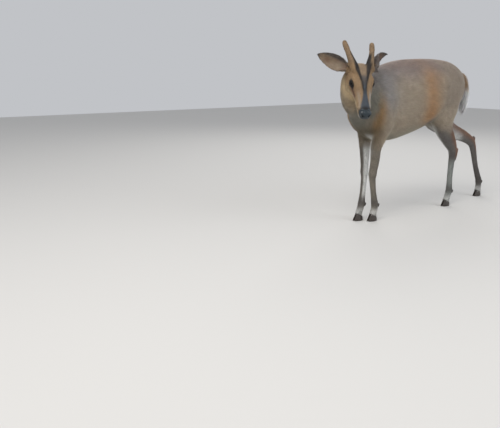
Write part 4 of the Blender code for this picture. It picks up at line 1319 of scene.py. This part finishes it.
# %% [markdown]
# ## Lashes and whiskers
# Stiff single hairs frame the eyes and stand on the lips, chin and brow. They are the same
# spikes, longer and set one by one: a lash is rooted at a place given in the head's frame,
# and a whisker at the skin's vertex nearest to such a place.

# %% Root single hairs at places on the head
hide_tree = KDTree(len(points))
for i, at in enumerate(at_head):
    hide_tree.insert(at, i)
hide_tree.balance()
first_face = np.zeros(len(points), np.int64)
first_face[hide["tri"].ravel()] = np.repeat(np.arange(len(hide["tri"])), 3)
HAIR_SPREAD, HAIR_RISE_SPREAD, HAIR_SWAY = (0.7, 1.25), (0.8, 1.2), 0.12


def single_hairs(spots, ways, long, wide, rise, tone, seed, stay=False):
    """Roots for hairs at these places of the head, or at the skin's nearest vertices."""
    dice = np.random.default_rng(seed)
    at = np.array([hide_tree.find(spot)[1] for spot in spots])
    count = len(at)
    return {
        "root": from_head(np.array(spots)) if stay else points[at],
        "up": normal[at],
        "way": unit(np.asarray(ways) @ AXES),
        "long": long * dice.uniform(*HAIR_SPREAD, count),
        "wide": np.full(count, wide),
        "rise": rise * dice.uniform(*HAIR_RISE_SPREAD, count),
        "sway": HAIR_SWAY * dice.normal(size=count),
        "tone": np.tile(np.array(tone), (count, 1)),
        "uv": hide["uv"][first_face[at]].mean(1),
    }


# %% Lashes along the upper lids
LASHES, LID_RISE, LID_EDGE = 34, 0.0014, 1.04
LASH_LENGTH, LASH_WIDTH, LASH_LIFT = 0.0070, 0.00034, 0.45
lash_spots, lash_ways = [], []
for s in (1, -1):
    look, along, crown = eye_axes(s)[1:]
    turns = np.linspace(-0.85, 0.80, LASHES)
    long = turns * SLIT_FRONT
    up = SLIT_UPPER * (1 - np.abs(turns) ** SLIT_POWER) ** (1 / SLIT_POWER) - SLIT_FALL * long
    lash_spots += list(on_eye(long * LID_EDGE, up * LID_EDGE, np.full(LASHES, LID_RISE), s))
    lash_ways += [crown * 0.55 - along * 0.5 * turn + look * 0.75 for turn in -turns]
lash_form = (LASH_LENGTH, LASH_WIDTH, LASH_LIFT, BLACK)
lashes = single_hairs(lash_spots, lash_ways, *lash_form, 150, stay=True)
grow("lashes", lashes, coat)


# %% Whiskers on the lips, chin and brow
WHISKER_LENGTH, WHISKER_WIDTH, WHISKER_LIFT = 0.020, 0.00030, 0.70
dice = np.random.default_rng(160)
whisker_spots, whisker_ways = [], []
for s in (1, -1):
    for _ in range(26):
        whisker_spots.append((dice.uniform(0.080, 0.106), 0.021 * s, dice.uniform(-0.046, -0.022)))
        whisker_ways.append((-0.35, 0.9 * s, -0.25))
    for _ in range(9):
        whisker_spots.append((dice.uniform(0.080, 0.104), 0.009 * s, -0.058))
        whisker_ways.append((-0.3, 0.5 * s, -0.8))
    for _ in range(6):
        whisker_spots.append((dice.uniform(-0.008, 0.010), 0.036 * s, dice.uniform(0.017, 0.023)))
        whisker_ways.append((-0.5, 0.6 * s, 0.6))
whisker_form = (WHISKER_LENGTH, WHISKER_WIDTH, WHISKER_LIFT, BLACK)
whiskers = single_hairs(whisker_spots, whisker_ways, *whisker_form, 161)
grow("whiskers", whiskers, coat)


# %% [markdown]
# ## Eyes
# A deer's eye is a wet ball, nearly black brown, with a pupil drawn out sideways that shows
# only close up. A sphere is added at the eye's place and size, and the front is pushed out
# a little for the clear cornea. The colours are rings about the way the eye looks.

# %% Model one eye and turn it the way it looks
EYE_CLEARANCE = 0.0002
CORNEA_RISE, CORNEA_FROM = 0.0009, 0.72


def eye(name, sign):
    centre, look, along, crown = eye_axes(sign)
    at = Vector(from_head([centre])[0])
    radius = EYE_RADIUS * HEAD_SCALE - EYE_CLEARANCE
    bpy.ops.object.select_all(action="DESELECT")
    bpy.ops.mesh.primitive_uv_sphere_add(segments=48, ring_count=32, radius=radius, location=at)
    ball = bpy.context.active_object
    ball.name = name
    turn = Matrix((head_way(along), head_way(crown), head_way(look))).transposed()
    if turn.determinant() < 0:
        turn = Matrix((-head_way(along), head_way(crown), head_way(look))).transposed()
    ball.rotation_euler = turn.to_euler()
    spots = places(ball)
    spots[:, 2] += CORNEA_RISE * step(spots[:, 2], radius * CORNEA_FROM, radius)
    put_places(ball, spots)
    ball.data.materials.append(eye_material(name, at, turn))
    choose(ball)
    bpy.ops.object.transform_apply(location=True, rotation=True, scale=True)
    bpy.ops.object.shade_smooth()
    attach(ball, "root")
    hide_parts(name)
    print(name, "vertices:", len(ball.data.vertices))


# %% The skin of the lids' bare rim
lid_skin = material_of("lid_skin", Roughness=0.42, Specular_IOR_Level=0.35)
creases = stretched_noise(lid_skin, (1, 1, 1), 700.0)
two_tone(lid_skin, creases, (0.010, 0.008, 0.007), (0.034, 0.026, 0.022))
bump_from(lid_skin, stretched_noise(lid_skin, (1, 1, 1), 1500.0), 0.0002)


# %% The lids' bare rim, a closed band round the ball
# Each row: how far out on the almond the ring lies, and how high over the ball.
LID_PROFILE = (
    (0.93, -0.0012),
    (0.965, 0.0000),
    (0.985, 0.0007),
    (1.02, 0.0013),
    (1.07, 0.0016),
    (1.14, 0.0016),
    (1.22, 0.0013),
    (1.32, 0.0007),
    (1.44, -0.0004),
    (1.30, -0.0016),
    (1.08, -0.0020),
)
LID_POINTS = 120
LID_PAINT = 0.02
PROBE = 0.01


def lid_places(sign):
    """The rings of the band, each an almond at its own size and height."""
    turns = np.linspace(0, 2 * math.pi, LID_POINTS, endpoint=False)
    long, up = np.cos(turns), np.sin(turns) - SLIT_FALL * np.cos(turns)
    share = almond(long * PROBE, up * PROBE)
    long, up = long * PROBE / share, up * PROBE / share
    flat = np.ones(LID_POINTS)
    rings = [on_eye(long * out, up * out, flat * height, sign) for out, height in LID_PROFILE]
    return from_head(np.vstack(rings))


def lid_band(name, sign):
    spots = lid_places(sign)
    count, steps = len(LID_PROFILE), np.arange(LID_POINTS)
    following = (steps + 1) % LID_POINTS
    faces = []
    for k in range(count):
        here, above = k * LID_POINTS, (k + 1) % count * LID_POINTS
        a, b, c, d = here + steps, here + following, above + following, above + steps
        faces += [np.stack([a, b, c], 1), np.stack([a, c, d], 1)]
    faces = np.vstack(faces)
    faces = faces[:, ::-1] if sign > 0 else faces
    paint = np.full((len(spots), 3), LID_PAINT)
    made = closed_mesh(name, spots, faces, paint, np.zeros((len(spots), 2)))
    made.data.materials.append(lid_skin)
    unwrap(made)
    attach(made, "root")
    print(name, "triangles:", len(faces))


lid_band("lids_left", 1)
lid_band("lids_right", -1)


# %% The eye's material, drawn about the way it looks
PUPIL_SIZE = (0.0066, 0.0040, 1.0)


def eye_material(name, at, turn):
    wet = material_of(
        name, Roughness=0.06, Specular_IOR_Level=0.16, Coat_Weight=0.06, Coat_Roughness=0.03
    )
    where = node(wet, "TexCoord")
    rings_at = {"Location": at, "Rotation": turn.to_euler(), "Scale": PUPIL_SIZE}
    mapping = node(wet, "Mapping", rings_at, vector_type="TEXTURE")
    flat = node(wet, "VectorMath", {1: (1.0, 1.0, 0.0)}, operation="MULTIPLY")
    away = node(wet, "VectorMath", operation="LENGTH")
    ring = node(wet, "ValToRGB")
    ring.color_ramp.elements[0].position = 0.55
    ring.color_ramp.elements[0].color = (0.002, 0.002, 0.002, 1)
    ring.color_ramp.elements[1].position = 0.72
    ring.color_ramp.elements[1].color = (0.012, 0.006, 0.003, 1)
    edge = ring.color_ramp.elements.new(0.98)
    edge.color = (0.004, 0.003, 0.002, 1)
    wire(wet, where.outputs["Object"], mapping.inputs["Vector"])
    wire(wet, mapping.outputs["Vector"], flat.inputs[0])
    wire(wet, flat.outputs["Vector"], away.inputs[0])
    wire(wet, away.outputs["Value"], ring.inputs["Fac"])
    wire(wet, ring.outputs["Color"], shader_of(wet).inputs["Base Color"])
    return wet


eye("eye_left", 1)
eye("eye_right", -1)


# %% [markdown]
# ## Antlers in velvet
# The short antlers are still growing, so each pedicle ends in a round bud under velvet. The
# solid bud is copied, wrapped in a fine surface that rounds its facets, and covered with a
# very short pile of the pedicle's colour, so that the joint between the two hardly shows.

# %% The skin of the velvet
velvet = material_of(
    "velvet", Roughness=0.85, Specular_IOR_Level=0.15, Sheen_Weight=0.25, Sheen_Roughness=0.4
)
patches = stretched_noise(velvet, (1, 1, 1), 260.0)
two_tone(velvet, patches, (0.200, 0.125, 0.068), (0.330, 0.220, 0.125))
bump_from(velvet, stretched_noise(velvet, (1, 1, 1), 1500.0), 0.0004)


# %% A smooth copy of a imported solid
def rounded_copy(name, new_name, voxel, rounds):
    """Copies a node and wraps the copy in a fine smooth surface."""
    made = copied([name])[0]
    made.name = new_name
    made.data.name = new_name
    made.data.materials.clear()
    apply_modifier(made, "REMESH", mode="VOXEL", voxel_size=voxel)
    apply_modifier(made, "SMOOTH", factor=0.5, iterations=rounds)
    apply_modifier(made, "TRIANGULATE")
    choose(made)
    bpy.ops.object.shade_smooth()
    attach(made, "root")
    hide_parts(name)
    return made


# %% Round the buds and sink their feet into the pedicles
BUD_SUNK, BUD_DRAWN_IN = 0.0022, 0.13


def bud_on(name, sign):
    """The bud, and how high each of its vertices stands over its foot."""
    bud = rounded_copy(name, name + "_velvet", 0.0009, 5)
    bud.data.materials.append(velvet)
    spots = places(bud)
    root, aim = (np.array(v) for v in PEDICLES[sign])
    height = (in_head(spots) - root) @ (aim / np.linalg.norm(aim))
    height -= height.min()
    foot = 1 - step(height, 0.0, 0.004)
    stem = spots[height < 0.003].mean(0)
    way = head_way(aim)
    sideways = spots - stem - np.outer((spots - stem) @ way, way)
    spots -= np.outer(BUD_SUNK * foot, way) + sideways * (BUD_DRAWN_IN * foot)[:, None]
    put_places(bud, spots)
    unwrap(bud)
    return bud, height


# %% Grow the pile of the velvet
PILE_LENGTH, PILE_WIDTH, PILE_LIFT = 0.0042, 0.00050, 0.35
for k, (name, sign) in enumerate((("antler_left", 1), ("antler_right", -1))):
    bud, height = bud_on(name, sign)
    spots = places(bud)
    flat = np.ones(len(spots))
    aim = np.tile(head_way(PEDICLES[sign][1]), (len(spots), 1))
    shade = np.array(PEDICLE) * (1 + 0.10 * mottle(spots, 0.010, 30 + k))[:, None]
    pile = ground_of(bud, aim, PILE_LENGTH * flat, PILE_WIDTH * flat, PILE_LIFT * flat, shade)
    pile_roots = roots_on(pile, step(height, 0.0018, 0.0030), 1.7, 170 + k, spread=0.35)
    grow("coat_" + name, pile_roots, coat)


# %% [markdown]
# ## Hooves and dewclaws
# Each foot stands on two pointed hooves of dark horn, with two small dewclaws behind. The
# solids give their place and size. Fine copies round the facets, and horn's growth rings are
# pressed into their walls, while the soles stay flat on the floor.

# %% Horn
horn = material_of("hoof_horn", Roughness=0.38, Specular_IOR_Level=0.45)
layers = stretched_noise(horn, (1, 1, 0.3), 240.0)
two_tone(horn, layers, (0.022, 0.018, 0.016), (0.075, 0.060, 0.050))
bump_from(horn, stretched_noise(horn, (1, 1, 0.15), 1400.0), 0.00015)


# %% Round every hoof, narrow it towards the coronet and press its rings
RING_HEIGHT, RING_DEPTH = 0.0022, 0.00005
HOOF_WRAP, CLAW_WRAP = (0.0009, 16), (0.0007, 6)
CORONET = 0.24


def narrowed(name, spots):
    """Draws a hoof's top in towards the middle of its foot."""
    foot = name.split("hoof")[0]
    pair = [middle_of(n) for n in frame["nodes"] if n.startswith(foot + "hoof")]
    narrow = CORONET * step(spots[:, 2], 0.004, spots[:, 2].max())
    spots[:, :2] += (np.mean(pair, axis=0)[:2] - spots[:, :2]) * narrow[:, None]


for name in [n for n in frame["nodes"] if "hoof" in n or "dewclaw" in n]:
    is_hoof = "hoof" in name
    claw = rounded_copy(name, name + "_horn", *(HOOF_WRAP if is_hoof else CLAW_WRAP))
    spots, out = places(claw), normals(claw)
    if is_hoof:
        narrowed(name, spots)
    wall = step(spots[:, 2], 0.0008, 0.0030)
    rings = np.sin((spots[:, 2] + 0.0006 * mottle(spots, 0.006, 7)) / RING_HEIGHT * 2 * math.pi)
    spots += out * (rings * RING_DEPTH * wall)[:, None]
    spots[:, 2] = np.maximum(spots[:, 2], 0.0)
    put_places(claw, spots)
    claw.data.materials.append(horn)
    unwrap(claw)
    print(claw.name, len(claw.data.polygons), "triangles")


# %% [markdown]
# ## Floor, light and camera
# A plain pale floor and a pale surround stand in for a studio. One large soft light hangs
# over the camera's left shoulder, a second fills the shadow side and a third lights the far
# side from behind. The camera looks from the photograph's place: about as high as the
# animal's back, ahead of its left side.

# %% Floor and surround
FLOOR_SIZE = 12.0
SURROUND, SURROUND_STRENGTH = (0.86, 0.88, 0.92, 1), 0.62

bpy.ops.object.select_all(action="DESELECT")
bpy.ops.mesh.primitive_plane_add(size=FLOOR_SIZE, location=(0, 0, 0))
floor = bpy.context.active_object
floor.name = "floor"
floor_paint = material_of("floor_paint", Base_Color=(0.62, 0.61, 0.59, 1), Roughness=0.9)
floor.data.materials.append(floor_paint)

world = bpy.data.worlds.new("studio")
bpy.context.scene.world = world
world.use_nodes = True
world.node_tree.nodes["Background"].inputs["Color"].default_value = SURROUND
world.node_tree.nodes["Background"].inputs["Strength"].default_value = SURROUND_STRENGTH
bpy.context.scene.view_settings.view_transform = "Standard"
print("floor:", FLOOR_SIZE, "m square")


# %% Lights
LIT_POINT = (0, -0.05, 0.35)


def soft_light(name, place, size, power, colour):
    light = bpy.data.lights.new(name, "AREA")
    light.size = size
    light.energy = power
    light.color = colour
    lamp = bpy.data.objects.new(name, light)
    bpy.context.scene.collection.objects.link(lamp)
    lamp.location = place
    way = Vector(LIT_POINT) - Vector(place)
    lamp.rotation_euler = way.to_track_quat("-Z", "Y").to_euler()
    print(name, "light:", power, "W over", size, "m")


soft_light("key", (0.9, -2.2, 2.6), 1.8, 62, (1.0, 0.97, 0.93))
soft_light("fill", (2.4, 1.2, 1.8), 2.2, 26, (0.93, 0.96, 1.0))
soft_light("rim", (-1.8, 1.6, 2.2), 1.6, 22, (1.0, 0.98, 0.95))


# %% Camera
CAMERA_AT = (1.4725, -1.8698, 0.542)
CAMERA_TURN, CAMERA_DIP = 54, 13.5
SENSOR, LENS = 36.0, 43.2

eye_point = bpy.data.cameras.new("camera")
eye_point.sensor_width = SENSOR
eye_point.lens = LENS
camera = bpy.data.objects.new("camera", eye_point)
bpy.context.scene.collection.objects.link(camera)
turn, dip = math.radians(CAMERA_TURN), math.radians(CAMERA_DIP)
ahead = Vector((-math.sin(turn) * math.cos(dip), math.cos(turn) * math.cos(dip), -math.sin(dip)))
right = Vector((math.cos(turn), math.sin(turn), 0.0))
facing = Matrix((right, right.cross(ahead), -ahead)).transposed().to_4x4()
camera.matrix_world = Matrix.Translation(CAMERA_AT) @ facing
bpy.context.scene.camera = camera
print("camera:", CAMERA_AT, "lens", LENS)
